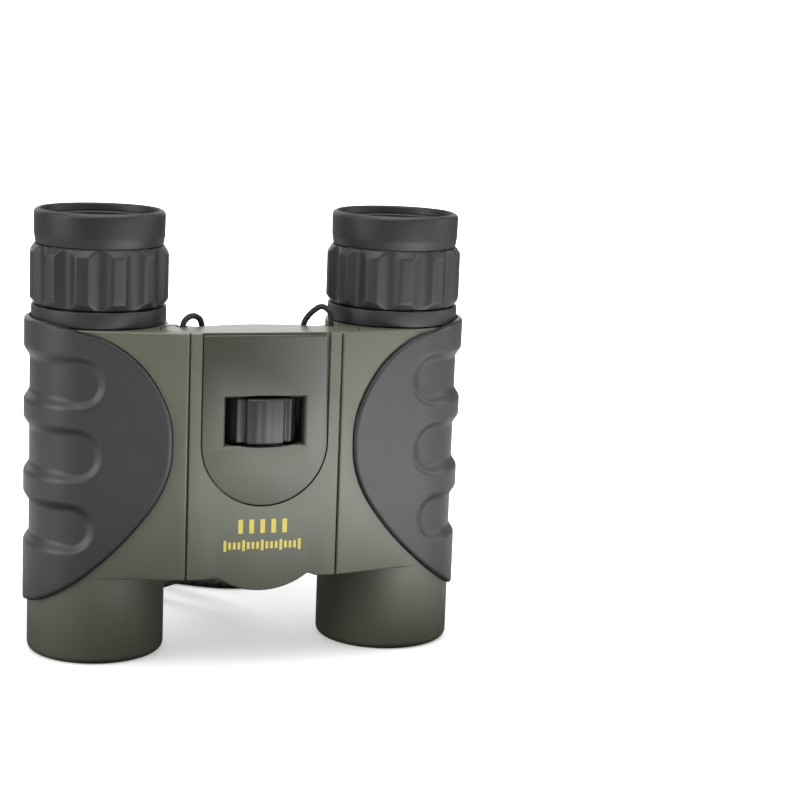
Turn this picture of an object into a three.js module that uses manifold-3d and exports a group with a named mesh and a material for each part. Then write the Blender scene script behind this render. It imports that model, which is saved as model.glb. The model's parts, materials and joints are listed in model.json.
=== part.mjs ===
// Compact folding binoculars, 10x25 class: two slim roof-prism barrels hinged to a flat bridge.
// They stand on their objective ends. Millimetres, +Z up, X to the right, the front faces -Y.
// Each barrel is modelled about its own optical axis, and placed by its group.
import * as THREE from "three";
import Module from "manifold-3d";
import { mergeVertices } from "three/addons/utils/BufferGeometryUtils.js";

const wasm = await Module();
wasm.setup();

// ---- Driving dimensions ----
const GAP = 0.3; // between pieces that touch on the real object
const BARREL_R = 16;
const HALF_SPAN = 35.3; // barrel axis from the middle plane, folded fully open
const BORE_R = 13.4;
const BODY_BOTTOM = 20.6;
const BODY_TOP = 78;
const FRONT_Y = -20.5; // front face of the bridge
const ROUND = 48; // facets of the barrels and their bores
const MEDIUM_ROUND = 24; // facets of lenses, rings and hinge knuckles
const SMALL_ROUND = 16; // facets of pins and screws

// Hinges: a vertical axis each side, ears on the bridge outside the barrels' knuckles
const HINGE_X = 17.7;
const HINGE_Y = -13.6;
const KNUCKLE_R = 5.5;
const PIN_R = 1.8;
const LOW_KNUCKLE = [29, 37.6];
const HIGH_KNUCKLE = [58, 69.7];
const LOWER_PIN = [21.6, 37.2];
const UPPER_PIN = [58.4, 76.6];

// Grips: rubber let into the shell, standing a little proud of it
const GRIP_PROUD = 1.05;
const GRIP_SUNK = 0.8;
const GRIP_TOP = 79.2;
const GRIP_OUT = 20; // the grip's outline is closed out here, beyond the barrel's side
const FINGER_Z = [66.3, 49.3, 32.5]; // middles of the finger hollows
const GRIP_BACK_X = -9; // behind the barrel the grip ends in a straight edge

// Bridge
const SEAM_X = HINGE_X - GAP / 2;
const BACK_Y = -6.2; // the back of the bridge, in the middle
const BACK_CURVE_R = 30.5;
const CAVITY_X = 10.6;
const CAVITY_FRONT = -17.3;
const CAVITY_Z = [31, 70.5];
const COVER_HALF = 14.7; // U-shaped focus cover
const COVER_BEND_Z = 52.6;
const COVER_TOP = 77.5;
const WINDOW_X = 9.4;
const WINDOW_Z = [51.9, 63.2];
const BACK_COVER_X = 11.7;
const BACK_COVER_Z = [25.3, 75.7];
const BACK_COVER_THICK = 1.5;

// Focusing
const WHEEL_Y = -12.6;
const WHEEL_R = 9.3;
const WHEEL_Z = [52.3, 62.8];
const SPINDLE_R = 2;
const SPINDLE_Z = [28.4, 74];
const YOKE_Z = [42.5, 45];
const YOKE_HALF = 2.3; // half the width of its arms
const YOKE_PIN_R = 1.5;
const YOKE_PIN_TOP = 49.2;
const NUT_R = 4.2; // the yoke's nut on the spindle
const NUT_Z = [38.5, 48.5];
const BUSHING_R = 4.4;
const BUSHING_Z = [67.4, 70.2];
const HUB_R = 6.7;
const FOCUS_CELL_R = 12.9;
const FOCUS_CELL_Z = [43, 49];
const FOCUS_LENS_R = 10.5;
const ARM_Z = [45.4, 47.8]; // the focusing cell's arm, from the cell to its eye on the hinge axis
const ARM_WIDTH = 3.6;
const ARM_EYE_R = 3;
const FOCUS_TRAVEL = 2; // each way

// Prisms, in a cage with a square window
const CAGE_Z = [52.5, 67.5];
const PRISM_HALF = 8.3;

// Eyepieces
const COLLAR_R = 15.5;
const COLLAR_TOP = 82;
const TUBE_R = 13.1;
const TUBE_Z = [68, 94];
const SLEEVE_R = 14.2; // guide of the eyecup ring, round the tube
const SLEEVE_Z = [82.6, 95.6];
const RING_R = 16.05;
const RING_Z = [82.3, 95.9];
const FLUTES = 12;
const EYECUP_R = 15;
const EYECUP_TOP = 104;

// Strap
const LOOP_R = 0.7; // the thin loops at the hinges
const NECK_R = 1.5; // the braided neck cord
const EYELET_FROM_HINGE = 4; // a loop's hole in the hinge ear, behind the hinge axis
const EYELET_R = 1.05;
const EYELET_Z = [74.4, 79];
const COIL = { x: 2, y: 79, mid: 16.5, half: 6.3, height: 5.9 };

// The rest frame has its origin under the middle of the object without its strap
const DEEPEST_BACK = BARREL_R + GRIP_PROUD;
const DEEPEST_FRONT = WHEEL_Y - WHEEL_R;
const MIDDLE_Y = (DEEPEST_BACK + DEEPEST_FRONT) / 2;

const looks = {
  olive: new THREE.MeshStandardMaterial({ color: "#62665a", roughness: 0.5, metalness: 0.1 }),
  rubber: new THREE.MeshStandardMaterial({ color: "#3c3d3e", roughness: 0.7 }),
  black: new THREE.MeshStandardMaterial({ color: "#232425", roughness: 0.55 }),
  steel: new THREE.MeshStandardMaterial({ color: "#b4b6b8", roughness: 0.3, metalness: 1 }),
  brass: new THREE.MeshStandardMaterial({ color: "#b59a56", roughness: 0.35, metalness: 1 }),
  glass: new THREE.MeshStandardMaterial({ color: "#8fa3b8", roughness: 0.05 }),
  cord: new THREE.MeshStandardMaterial({ color: "#18191a", roughness: 0.85 }),
};

// ---- Shape helpers ----

// A geometry with shared corners, no empty triangles and its faces outwards
function closed(geometry) {
  const bare = geometry.clone();
  for (const name of Object.keys(bare.attributes)) {
    if (name !== "position") bare.deleteAttribute(name);
  }
  const merged = mergeVertices(bare, 1e-4);
  const at = merged.attributes.position;
  const corner = (i) => new THREE.Vector3().fromBufferAttribute(at, i);
  const kept = [];
  let volume = 0;
  for (let i = 0; i < merged.index.count; i += 3) {
    const [a, b, c] = [0, 1, 2].map((k) => merged.index.getX(i + k));
    if (a === b || b === c || c === a) continue;
    volume += corner(a).dot(corner(b).cross(corner(c)));
    kept.push(a, b, c);
  }
  merged.setIndex(volume < 0 ? kept.reverse() : kept);
  return merged;
}

function solid(geometry) {
  const { attributes, index } = closed(geometry);
  const vertProperties = new Float32Array(attributes.position.array);
  const triVerts = new Uint32Array(index.array);
  return new wasm.Manifold(new wasm.Mesh({ numProp: 3, vertProperties, triVerts }));
}

function fromSolid(body) {
  const { vertProperties, triVerts } = body.getMesh();
  const geometry = new THREE.BufferGeometry();
  geometry.setAttribute("position", new THREE.BufferAttribute(vertProperties, 3));
  geometry.setIndex(new THREE.BufferAttribute(triVerts, 1));
  return geometry;
}

const join = (first, ...rest) =>
  fromSolid(rest.reduce((whole, piece) => whole.add(solid(piece)), solid(first)));
const cut = (first, ...rest) =>
  fromSolid(rest.reduce((whole, piece) => whole.subtract(solid(piece)), solid(first)));
const common = (first, second) => fromSolid(solid(first).intersect(solid(second)));
const mirrored = (geometry) => closed(geometry.clone().scale(-1, 1, 1));

function block(x, y, z) {
  const box = new THREE.BoxGeometry(x[1] - x[0], y[1] - y[0], z[1] - z[0]);
  return box.translate((x[0] + x[1]) / 2, (y[0] + y[1]) / 2, (z[0] + z[1]) / 2);
}

// A closed profile of [radius, height] turned about the Z axis
function turned(profile, facets = ROUND) {
  const points = [...profile, profile[0]].map(([r, z]) => new THREE.Vector2(r, z));
  return new THREE.LatheGeometry(points, facets).rotateX(Math.PI / 2);
}

const disc = (r, [z0, z1], facets = ROUND) =>
  turned([[0, z0], [r, z0], [r, z1], [0, z1]], facets);
const ring = (inner, outer, [z0, z1], facets = ROUND) =>
  turned([[inner, z0], [outer, z0], [outer, z1], [inner, z1]], facets);

// A flat outline in X and Y, raised from z0 to z1
function raised(points, [z0, z1]) {
  const shape = new THREE.Shape(points.map(([x, y]) => new THREE.Vector2(x, y)));
  const options = { depth: z1 - z0, bevelEnabled: false };
  return new THREE.ExtrudeGeometry(shape, options).translate(0, 0, z0);
}

// A flat outline in X and Z, run through from y0 (front) to y1 (back)
function runThrough(points, [y0, y1]) {
  return raised(points, [-y1, -y0]).rotateX(Math.PI / 2);
}

// Points on an arc, the two ends included; angles in degrees, anticlockwise
function arc(x, y, r, from, to, steps) {
  return Array.from({ length: steps + 1 }, (_, i) => {
    const angle = THREE.MathUtils.degToRad(from + ((to - from) * i) / steps);
    return [x + r * Math.cos(angle), y + r * Math.sin(angle)];
  });
}

// A round rod along a curve through the given points
function rod(points, r, steps, sides = 8) {
  const section = new THREE.Shape(
    arc(0, 0, r, 0, 360 - 360 / sides, sides - 1).map(([x, y]) => new THREE.Vector2(x, y)),
  );
  const path = new THREE.CatmullRomCurve3(points.map((p) => new THREE.Vector3(...p)));
  return new THREE.ExtrudeGeometry(section, { steps, extrudePath: path });
}

const binoculars = new THREE.Group();
binoculars.position.y = -MIDDLE_Y;

function add(parent, name, geometry, material) {
  const mesh = new THREE.Mesh(closed(geometry), material);
  mesh.name = name;
  parent.add(mesh);
  return mesh;
}

// ---- Barrel, about its own axis, with its web and hinge on the -X side ----
const HINGE_IN = HINGE_X - HALF_SPAN; // the hinge axis seen from the barrel axis
const ALL_Z = [-1, 110];

const atHinge = (geometry, x = HINGE_IN) => geometry.translate(x, HINGE_Y, 0);

// Section through tube and web; the web's front face runs tangent to the tube
function bodySection(offset) {
  const tangent = THREE.MathUtils.degToRad(-75);
  const seam = HINGE_IN + GAP / 2;
  return [
    [seam + offset * Math.cos(tangent), FRONT_Y + offset * Math.sin(tangent)],
    ...arc(0, 0, BARREL_R + offset, -75, 202.5, 37),
    [seam, -5.6],
  ];
}

// The grip's edge seen from the front, [x, z] from its top round the middle to its foot
const GRIP_EDGE = [
  [13.5, GRIP_TOP],
  [10, 78.6],
  [6, 77.6],
  [2.8, 76.8],
  [-0.6, 75.3],
  [-4.1, 73],
  [-7.5, 69.8],
  [-10.3, 65.8],
  [-12.5, 61.4],
  [-13.7, 57],
  [-14, 52],
  [-13.6, 47],
  [-12.3, 42.6],
  [-10.3, 38.5],
  [-7.7, 34.7],
  [-4.8, 31],
  [-1.5, 27.3],
  [2.2, 23.7],
  [6.4, 20],
  [11, 16.4],
  [15.9, 12.7],
];

// Front view of the grip, widened by a margin
function gripOutline(margin) {
  const curve = new THREE.SplineCurve(GRIP_EDGE.map((p) => new THREE.Vector2(...p)));
  const steps = 30;
  const edge = Array.from({ length: steps + 1 }, (_, i) => {
    const way = curve.getTangent(i / steps);
    const outwards = new THREE.Vector2(way.y, -way.x).multiplyScalar(margin);
    return curve.getPoint(i / steps).add(outwards).toArray();
  });
  return [...edge, [GRIP_OUT, edge.at(-1)[1] - 3.5], [GRIP_OUT, edge[0][1]]];
}

// Three finger hollows: shallow grooves round the grip that fade out inside a flattened ball
function fingerHollows() {
  const face = BARREL_R + GRIP_PROUD;
  return FINGER_Z.map((z) => {
    const groove = turned([
      [face - 1, z - 3.5],
      [face + 0.4, z - 7],
      [face + 3, z - 7],
      [face + 3, z + 7],
      [face + 0.4, z + 7],
      [face - 1, z + 3.5],
    ]);
    const reach = new THREE.SphereGeometry(1, 16, 8).rotateX(Math.PI / 2).scale(15, 15, 7.4);
    return common(groove, reach.translate(face, 0, z).rotateZ(-Math.PI / 7));
  });
}

// The front outline run through the barrel, without what lies past the straight edge at the back
function gripRegion(margin) {
  return cut(
    runThrough(gripOutline(margin), [-30, 30]),
    block([-40, GRIP_BACK_X - margin], [-10, 40], ALL_Z),
  );
}

function grip() {
  const skin = cut(
    raised(bodySection(GRIP_PROUD), [5, GRIP_TOP]),
    raised(bodySection(-GRIP_SUNK), ALL_Z),
    disc(COLLAR_R + GAP, [BODY_TOP, GRIP_TOP + 1]),
  );
  return cut(common(skin, gripRegion(0)), ...fingerHollows());
}

function barrelShell() {
  const tube = turned([
    [0, 0],
    ...arc(BARREL_R - 1.6, 1.6, 1.6, -90, 0, 4),
    [BARREL_R, BODY_BOTTOM],
    [0, BODY_BOTTOM],
  ]);
  const knuckle = (z) => atHinge(disc(KNUCKLE_R, z, MEDIUM_ROUND));
  const space = (z) => atHinge(disc(KNUCKLE_R + GAP, z, MEDIUM_ROUND));
  const whole = join(
    tube,
    raised(bodySection(0), [BODY_BOTTOM, BODY_TOP]),
    knuckle(LOW_KNUCKLE),
    knuckle(HIGH_KNUCKLE),
  );
  const gripPocket = cut(gripRegion(GAP), raised(bodySection(-GRIP_SUNK - GAP), ALL_Z));
  return cut(
    whole,
    disc(BORE_R, ALL_Z),
    gripPocket,
    space([BODY_BOTTOM - 1, LOW_KNUCKLE[0]]),
    space([LOW_KNUCKLE[1], HIGH_KNUCKLE[0]]),
    space([HIGH_KNUCKLE[1], BODY_TOP + 1]),
    atHinge(disc(PIN_R + GAP, [BODY_BOTTOM, BODY_TOP], SMALL_ROUND)),
    armBox([8, 20], 4.6, [FOCUS_CELL_Z[0] - FOCUS_TRAVEL, FOCUS_CELL_Z[1] + FOCUS_TRAVEL]),
  );
}

// A bar from the barrel axis towards the hinge axis, between two distances
function armBox(reach, width, z) {
  const bar = block(reach, [-width / 2, width / 2], z);
  return bar.rotateZ(Math.atan2(HINGE_Y, HINGE_IN));
}

// ---- Optics of one barrel ----

function objectiveLens() {
  return turned([[0, 6], [6, 6.3], [13, 7.6], [13, 10.6], [6, 10.2], [0, 10]], MEDIUM_ROUND);
}

function objectiveRetainer() {
  return turned([[12.8, 2.2], [13.1, 2.2], [13.1, 5.6], [11.8, 5.6], [11.8, 4.4]], MEDIUM_ROUND);
}

// The focusing cell rides in the bore; its arm ends in an eye on the hinge axis
function focusCell() {
  const distance = Math.hypot(HINGE_IN, HINGE_Y);
  const eye = atHinge(disc(ARM_EYE_R, ARM_Z, SMALL_ROUND));
  return cut(
    join(disc(FOCUS_CELL_R, FOCUS_CELL_Z), armBox([10, distance - 1], ARM_WIDTH, ARM_Z), eye),
    disc(FOCUS_LENS_R + GAP, ALL_Z),
    atHinge(disc(YOKE_PIN_R + GAP, ALL_Z, SMALL_ROUND)),
  );
}

function focusLens() {
  const r = FOCUS_LENS_R;
  return turned([[0, 45.4], [6, 45], [r, 44], [r, 48], [6, 47], [0, 46.6]], MEDIUM_ROUND);
}

function prismCage() {
  const window = [-PRISM_HALF - GAP, PRISM_HALF + GAP];
  return cut(disc(TUBE_R, CAGE_Z, MEDIUM_ROUND), block(window, window, ALL_Z));
}

// The prisms' outlines are in Y and Z, and they are as wide as the cage's window
function prism(outline) {
  return runThrough(outline, [-PRISM_HALF, PRISM_HALF]).rotateZ(Math.PI / 2);
}

function halfPenta() {
  const half = PRISM_HALF;
  return prism([[-half, 53], [half, 53], [half, 56], [-2, 59.8], [-half, 59.8]]);
}

function roofPrism() {
  const half = PRISM_HALF;
  return prism([[-half, 60.1], [-2, 60.1], [half, 56.4], [half, 67], [-half, 67]]);
}

function fieldLens() {
  return turned([[0, 73.4], [6, 73.8], [11.2, 75], [11.2, 77], [0, 77]], MEDIUM_ROUND);
}

function ocularCell() {
  return ring(8.6, 11.2, [84, 95], MEDIUM_ROUND);
}

function eyeLens() {
  return turned([[0, 86], [8.3, 86], [8.3, 90], [5, 91.4], [0, 92]], MEDIUM_ROUND);
}

// ---- Eyepiece of one barrel ----

function flutedSection() {
  const pitch = 360 / FLUTES;
  const lobe = 11;
  const depth = 1.1;
  const points = [];
  for (let i = 0; i < FLUTES; i += 1) {
    const start = i * pitch - lobe / 2;
    points.push(...arc(0, 0, RING_R, start, start + lobe, 2));
    for (const share of [0.2, 0.5, 0.8]) {
      const angle = start + lobe + (pitch - lobe) * share;
      const r = RING_R - depth * Math.sin(Math.PI * share);
      points.push(arc(0, 0, r, angle, angle, 1)[0]);
    }
  }
  return points;
}

function eyecupRing() {
  return cut(raised(flutedSection(), RING_Z), disc(SLEEVE_R + GAP, ALL_Z, MEDIUM_ROUND));
}

function rubberEyecup() {
  return turned([
    [13, RING_Z[1] + GAP],
    [EYECUP_R, RING_Z[1] + GAP],
    [EYECUP_R, EYECUP_TOP - 1.2],
    [EYECUP_R - 0.5, EYECUP_TOP - 0.3],
    [EYECUP_R - 0.9, EYECUP_TOP],
    [EYECUP_R - 1.4, EYECUP_TOP - 0.3],
    [13.3, EYECUP_TOP - 1.2],
  ], MEDIUM_ROUND);
}

// ---- Bridge, about the middle plane ----
const bothSides = (make) => [make(1), make(-1)];
const backCurve = (offset, half, steps = 12) => {
  const r = BACK_CURVE_R - offset;
  const spread = THREE.MathUtils.radToDeg(Math.asin(half / r));
  return arc(0, BACK_Y - BACK_CURVE_R, r, 90 - spread, 90 + spread, steps);
};

function bridgeBlock() {
  const section = [
    [-SEAM_X, FRONT_Y],
    [SEAM_X, FRONT_Y],
    [SEAM_X, HINGE_Y],
    ...backCurve(0, 13.95),
    [-SEAM_X, HINGE_Y],
  ];
  // The foot bulges down in the middle, between two small notches
  const face = [
    [SEAM_X, BODY_TOP],
    [-SEAM_X, BODY_TOP],
    [-SEAM_X, BODY_BOTTOM],
    [-13.5, BODY_BOTTOM],
    ...arc(0, 35.5, 17.9, 232.5, 307.5, 16),
    [13.5, BODY_BOTTOM],
    [SEAM_X, BODY_BOTTOM],
  ];
  return common(raised(section, [10, BODY_TOP]), runThrough(face, [-30, 0]));
}

function coverOutline(half, top) {
  return [[half, top], [-half, top], ...arc(0, COVER_BEND_Z, half, 180, 360, 24)];
}

const wheelWindow = (half, y) => block([-half, half], y, WINDOW_Z);
const screwPlaces = [-7, 7].flatMap((x) => [28.2, 73.1].map((z) => [x, z]));
const screwHole = (r, [x, z], y) =>
  disc(r, [0, y[1] - y[0]], SMALL_ROUND).rotateX(-Math.PI / 2).translate(x, y[0], z);

function bridgeHousing() {
  const ears = bothSides((side) => [
    atHinge(disc(KNUCKLE_R, [BODY_BOTTOM, LOW_KNUCKLE[0] - GAP], MEDIUM_ROUND), side * HINGE_X),
    atHinge(disc(KNUCKLE_R, [HIGH_KNUCKLE[1] + GAP, BODY_TOP], MEDIUM_ROUND), side * HINGE_X),
  ]).flat();
  const hingeCuts = bothSides((side) => {
    const at = (geometry) => atHinge(geometry, side * HINGE_X);
    const room = [LOW_KNUCKLE[0] - GAP, HIGH_KNUCKLE[1] + GAP];
    const hole = disc(EYELET_R, EYELET_Z, SMALL_ROUND).translate(0, EYELET_FROM_HINGE, 0);
    return [
      at(disc(KNUCKLE_R + GAP, room, MEDIUM_ROUND)),
      at(disc(PIN_R + GAP, [LOWER_PIN[0] - GAP, UPPER_PIN[1] + GAP], SMALL_ROUND)),
      at(hole),
    ];
  }).flat();
  const spindleBore = [SPINDLE_Z[0] - 0.4, SPINDLE_Z[1] + 0.5];
  const recess = raised(
    [...backCurve(BACK_COVER_THICK + GAP, BACK_COVER_X + GAP), [-12, 0], [12, 0]],
    [BACK_COVER_Z[0] - GAP, BACK_COVER_Z[1] + GAP],
  );
  const hollow = cut(
    join(bridgeBlock(), ...ears),
    ...hingeCuts,
    block([-CAVITY_X, CAVITY_X], [CAVITY_FRONT, 0], CAVITY_Z),
    recess,
    runThrough(coverOutline(COVER_HALF + GAP, 90), [FRONT_Y - 1, FRONT_Y + 1.2]),
    wheelWindow(WINDOW_X, [-30, -15]),
    disc(SPINDLE_R + GAP, spindleBore, SMALL_ROUND).translate(0, WHEEL_Y, 0),
    ...screwPlaces.map((place) => screwHole(1.1, place, [-15, 0])),
  );
  return cut(join(hollow, ...bothSides(hingeScreen), ...bothSides(seamScreen)), yokeSlot());
}

// A thin curved wall closes the middle of each hinge at the back of the bridge
function hingeScreen(side) {
  const sweep = 84;
  const thick = 1.2;
  const from = side > 0 ? 106 : -10;
  const outer = arc(side * HINGE_X, HINGE_Y, KNUCKLE_R, from, from + sweep, 10);
  const inner = arc(side * HINGE_X, HINGE_Y, KNUCKLE_R - thick, from + sweep, from, 10);
  const root = side * (HINGE_X - KNUCKLE_R - 0.6);
  const foot = block(
    [Math.min(root, root + side * 1.6), Math.max(root, root + side * 1.6)],
    [HINGE_Y, HINGE_Y + 1.5],
    [LOW_KNUCKLE[1] + GAP, HIGH_KNUCKLE[0] - GAP],
  );
  return join(raised([...outer, ...inner], [LOW_KNUCKLE[1] + GAP, HIGH_KNUCKLE[0] - GAP]), foot);
}

// A thin curved strip behind each front seam, rooted in the bridge, keeps light from passing
function seamScreen(side) {
  const bend = (r, from, to) => arc(HINGE_X, HINGE_Y, r, from, to, 4);
  const z = [LOW_KNUCKLE[1] + GAP, HIGH_KNUCKLE[0] - GAP];
  const strip = raised([...bend(KNUCKLE_R, -112, -72), ...bend(KNUCKLE_R - 1, -72, -112)], z);
  const root = raised([...bend(KNUCKLE_R + 0.8, -112, -97), ...bend(KNUCKLE_R - 0.8, -97, -112)], z);
  const screen = join(strip, root);
  return side > 0 ? screen : mirrored(screen);
}

// The yoke's arms pass sideways through this slot to the hinge axes
function yokeSlot() {
  const z = [YOKE_Z[0] - FOCUS_TRAVEL - 0.5, YOKE_Z[1] + FOCUS_TRAVEL + 0.5];
  return block([-SEAM_X, SEAM_X], [-16.4, -10.8], z);
}

function focusCover() {
  const plate = runThrough(coverOutline(COVER_HALF, COVER_TOP), [FRONT_Y, FRONT_Y + 0.9]);
  return cut(plate, wheelWindow(WINDOW_X, [-30, -15]));
}

function backCover() {
  const section = [
    ...backCurve(0, BACK_COVER_X),
    ...backCurve(BACK_COVER_THICK, BACK_COVER_X).reverse(),
  ];
  return cut(
    raised(section, BACK_COVER_Z),
    wheelWindow(8.9, [-15, 0]),
    ...screwPlaces.map((place) => screwHole(1.1, place, [-15, 0])),
  );
}

// A low round head on a plain shank
function coverScrew([x, z]) {
  const face = BACK_Y - BACK_CURVE_R + Math.sqrt(BACK_CURVE_R ** 2 - x ** 2) + GAP;
  const profile = [[0, -5], [0.8, -5], [0.8, 0], [1.7, 0], [1.5, 0.6], [0, 0.7]];
  return turned(profile, SMALL_ROUND).rotateX(-Math.PI / 2).translate(x, face, z);
}

// ---- Focus drive ----
const onSpindle = (geometry) => geometry.translate(0, WHEEL_Y, 0);

function wheelTyre() {
  const lobes = 5;
  const section = [];
  for (let i = 0; i < lobes; i += 1) {
    const middle = -90 + (i * 360) / lobes;
    section.push(...arc(0, 0, WHEEL_R, middle - 32.5, middle + 32.5, 9));
    section.push(...arc(0, 0, WHEEL_R - 0.8, middle + 34, middle + 38, 1));
  }
  return onSpindle(cut(raised(section, WHEEL_Z), disc(HUB_R + GAP, ALL_Z, MEDIUM_ROUND)));
}

const wheelHub = () => onSpindle(ring(SPINDLE_R + GAP, HUB_R, WHEEL_Z, MEDIUM_ROUND));
const spindle = () => onSpindle(disc(SPINDLE_R, SPINDLE_Z, SMALL_ROUND));
const bushing = () => onSpindle(ring(SPINDLE_R + GAP, BUSHING_R, BUSHING_Z, SMALL_ROUND));

function focusYoke() {
  const armY = [HINGE_Y - YOKE_HALF, HINGE_Y + YOKE_HALF];
  const ends = bothSides((side) =>
    join(
      atHinge(disc(YOKE_HALF, YOKE_Z, SMALL_ROUND), side * HINGE_X),
      atHinge(disc(YOKE_PIN_R, [YOKE_Z[1], YOKE_PIN_TOP], SMALL_ROUND), side * HINGE_X),
    ),
  );
  const nut = onSpindle(disc(NUT_R, NUT_Z, SMALL_ROUND));
  return cut(
    join(block([-HINGE_X, HINGE_X], armY, YOKE_Z), nut, ...ends),
    onSpindle(disc(SPINDLE_R + GAP, ALL_Z, SMALL_ROUND)),
  );
}

// ---- Strap ----

// Route of the right thin loop: out of the hinge ear, over, and down the bridge's back
const RIGHT_LOOP_ROUTE = [
  [17.7, -9.6, 75.2],
  [17.7, -9.6, 78.6],
  [17.3, -9.4, 81.2],
  [15.6, -8.8, 82.4],
  [13.6, -8.1, 81.2],
  [12.0, -7.5, 79],
  [11.2, -7.2, 76],
  [10.5, -6.9, 71],
  [9.9, -6.6, 65],
  [9.5, -6.3, 59],
  [8.9, -5.6, 53.5],
  [7.9, -4.7, 48.4],
];

// The left loop stands lower and leans back; its route is written as if it were on the right
const LEFT_LOOP_ROUTE = [
  [17.7, -9.6, 75.2],
  [17.7, -9.6, 77],
  [16.9, -9.1, 79.3],
  [14.95, -7.9, 80.2],
  [13, -6.7, 79.3],
  [12.2, -6.2, 77],
  [11.9, -6, 74.5],
  [11.4, -6, 71],
  [11, -5.8, 67],
  [10.3, -5.9, 62.5],
  [9.3, -5.8, 56],
  [7.9, -4.7, 48.4],
];
const SLIDER_ENDS = [[7.7, -4.5, 47.6], [5.7, -2.4, 38.6]];

// The neck cord leaves the left slider, turns on the table and meets the coil's right side
const LEFT_RUN = [
  [-5.5, -2.2, 38],
  [-4.7, -1, 34.6],
  [-3.8, 2, 29],
  [-3.1, 7, 23],
  [-3, 14, 17.8],
  [-4.2, 21, 13.2],
  [-7, 27.5, 9.2],
  [-11, 33, 6],
  [-15.3, 38, 3.4],
  [-18.3, 44, 1.8],
  [-17.3, 50, 1.5],
  [-12, 52.2, 1.5],
  [-6, 49.6, 1.5],
  [0, 45.8, 1.5],
  [6, 43.2, 1.5],
  [12, 43, 1.5],
  [17.3, 46.2, 1.5],
  [20.9, 52, 1.5],
  [22.7, 59, 1.5],
  [23.15, 66.4, 1.5],
];

// It comes off the coil's left side, passes over the first run and up to the right slider
const RIGHT_RUN = [
  [5.5, -2.2, 38],
  [4.7, -1, 34.6],
  [3.8, 2, 29],
  [3.1, 7, 23.2],
  [2.7, 14, 18],
  [2, 22, 13.4],
  [0, 30, 9.8],
  [-4, 38, 7],
  [-8.4, 45, 5.5],
  [-12.4, 52, 4.8],
  [-16.4, 59, 4.4],
  [-19.15, 66.4, 4.45],
];

function slider() {
  const [top, foot] = SLIDER_ENDS.map((p) => new THREE.Vector3(...p));
  const length = top.distanceTo(foot);
  const profile = [[0, 0], [1.7, 0], [2.3, 1], [2.3, length - 2], [1.3, length], [0, length]];
  const way = new THREE.Quaternion().setFromUnitVectors(
    new THREE.Vector3(0, 0, 1),
    top.clone().sub(foot).normalize(),
  );
  return turned(profile, SMALL_ROUND).applyQuaternion(way).translate(foot.x, foot.y, foot.z);
}

function coil() {
  const { x, y, mid, half, height } = COIL;
  return ring(mid - half, mid + half, [0, height], 36).translate(x, y, 0);
}

// ---- Assembly ----

function addBridge() {
  add(binoculars, "bridge_housing", bridgeHousing(), looks.olive);
  add(binoculars, "focus_cover", focusCover(), looks.olive);
  add(binoculars, "bridge_back_cover", backCover(), looks.olive);
  screwPlaces.forEach((place, i) => {
    add(binoculars, `back_cover_screw_${i + 1}`, coverScrew(place), looks.steel);
  });
  add(binoculars, "spindle_bushing", bushing(), looks.brass);
  add(binoculars, "focus_wheel_tyre", wheelTyre(), looks.black);
  add(binoculars, "focus_wheel_hub", wheelHub(), looks.black);
  add(binoculars, "focus_spindle", spindle(), looks.steel);
  add(binoculars, "focus_yoke", focusYoke(), looks.brass);
}

function addBarrel(side, name) {
  const barrel = new THREE.Group();
  barrel.position.x = side * HALF_SPAN;
  binoculars.add(barrel);
  const put = (node, geometry, material) =>
    add(barrel, `${name}_${node}`, side > 0 ? geometry : mirrored(geometry), material);
  put("barrel_shell", barrelShell(), looks.olive);
  put("grip", grip(), looks.rubber);
  put("objective_lens", objectiveLens(), looks.glass);
  put("objective_retainer", objectiveRetainer(), looks.black);
  put("focus_cell", focusCell(), looks.black);
  put("focus_lens", focusLens(), looks.glass);
  put("prism_cage", prismCage(), looks.black);
  put("half_penta_prism", halfPenta(), looks.glass);
  put("roof_prism", roofPrism(), looks.glass);
  put("field_lens", fieldLens(), looks.glass);
  put("eyepiece_tube", ring(11.5, TUBE_R, TUBE_Z, MEDIUM_ROUND), looks.black);
  put("ocular_cell", ocularCell(), looks.black);
  put("eye_lens", eyeLens(), looks.glass);
  put("eyecup_sleeve", ring(TUBE_R + GAP, SLEEVE_R, SLEEVE_Z, MEDIUM_ROUND), looks.black);
  put("eyecup_ring", eyecupRing(), looks.black);
  put("rubber_eyecup", rubberEyecup(), looks.rubber);
  const collar = side > 0 ? "dioptre_ring" : "eyepiece_collar";
  put(collar, ring(TUBE_R + GAP, COLLAR_R, [BODY_TOP + GAP, COLLAR_TOP], MEDIUM_ROUND), looks.black);
}

function addHingePins(side, name) {
  const pin = (z) => atHinge(disc(PIN_R, z, SMALL_ROUND), side * HINGE_X);
  add(binoculars, `${name}_lower_hinge_pin`, pin(LOWER_PIN), looks.steel);
  add(binoculars, `${name}_upper_hinge_pin`, pin(UPPER_PIN), looks.steel);
}

function addStrap() {
  add(binoculars, "right_loop_cord", rod(RIGHT_LOOP_ROUTE, LOOP_R, 26), looks.cord);
  add(binoculars, "left_loop_cord", mirrored(rod(LEFT_LOOP_ROUTE, LOOP_R, 26)), looks.cord);
  add(binoculars, "right_strap_slider", slider(), looks.black);
  add(binoculars, "left_strap_slider", mirrored(slider()), looks.black);
  add(binoculars, "neck_cord_left_run", rod(LEFT_RUN, NECK_R, 30), looks.cord);
  add(binoculars, "neck_cord_right_run", rod(RIGHT_RUN, NECK_R, 18), looks.cord);
  add(binoculars, "neck_cord_coil", coil(), looks.cord);
}

addBridge();
for (const [side, name] of [[1, "right"], [-1, "left"]]) {
  addBarrel(side, name);
  addHingePins(side, name);
}
addStrap();

export default binoculars;
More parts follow.
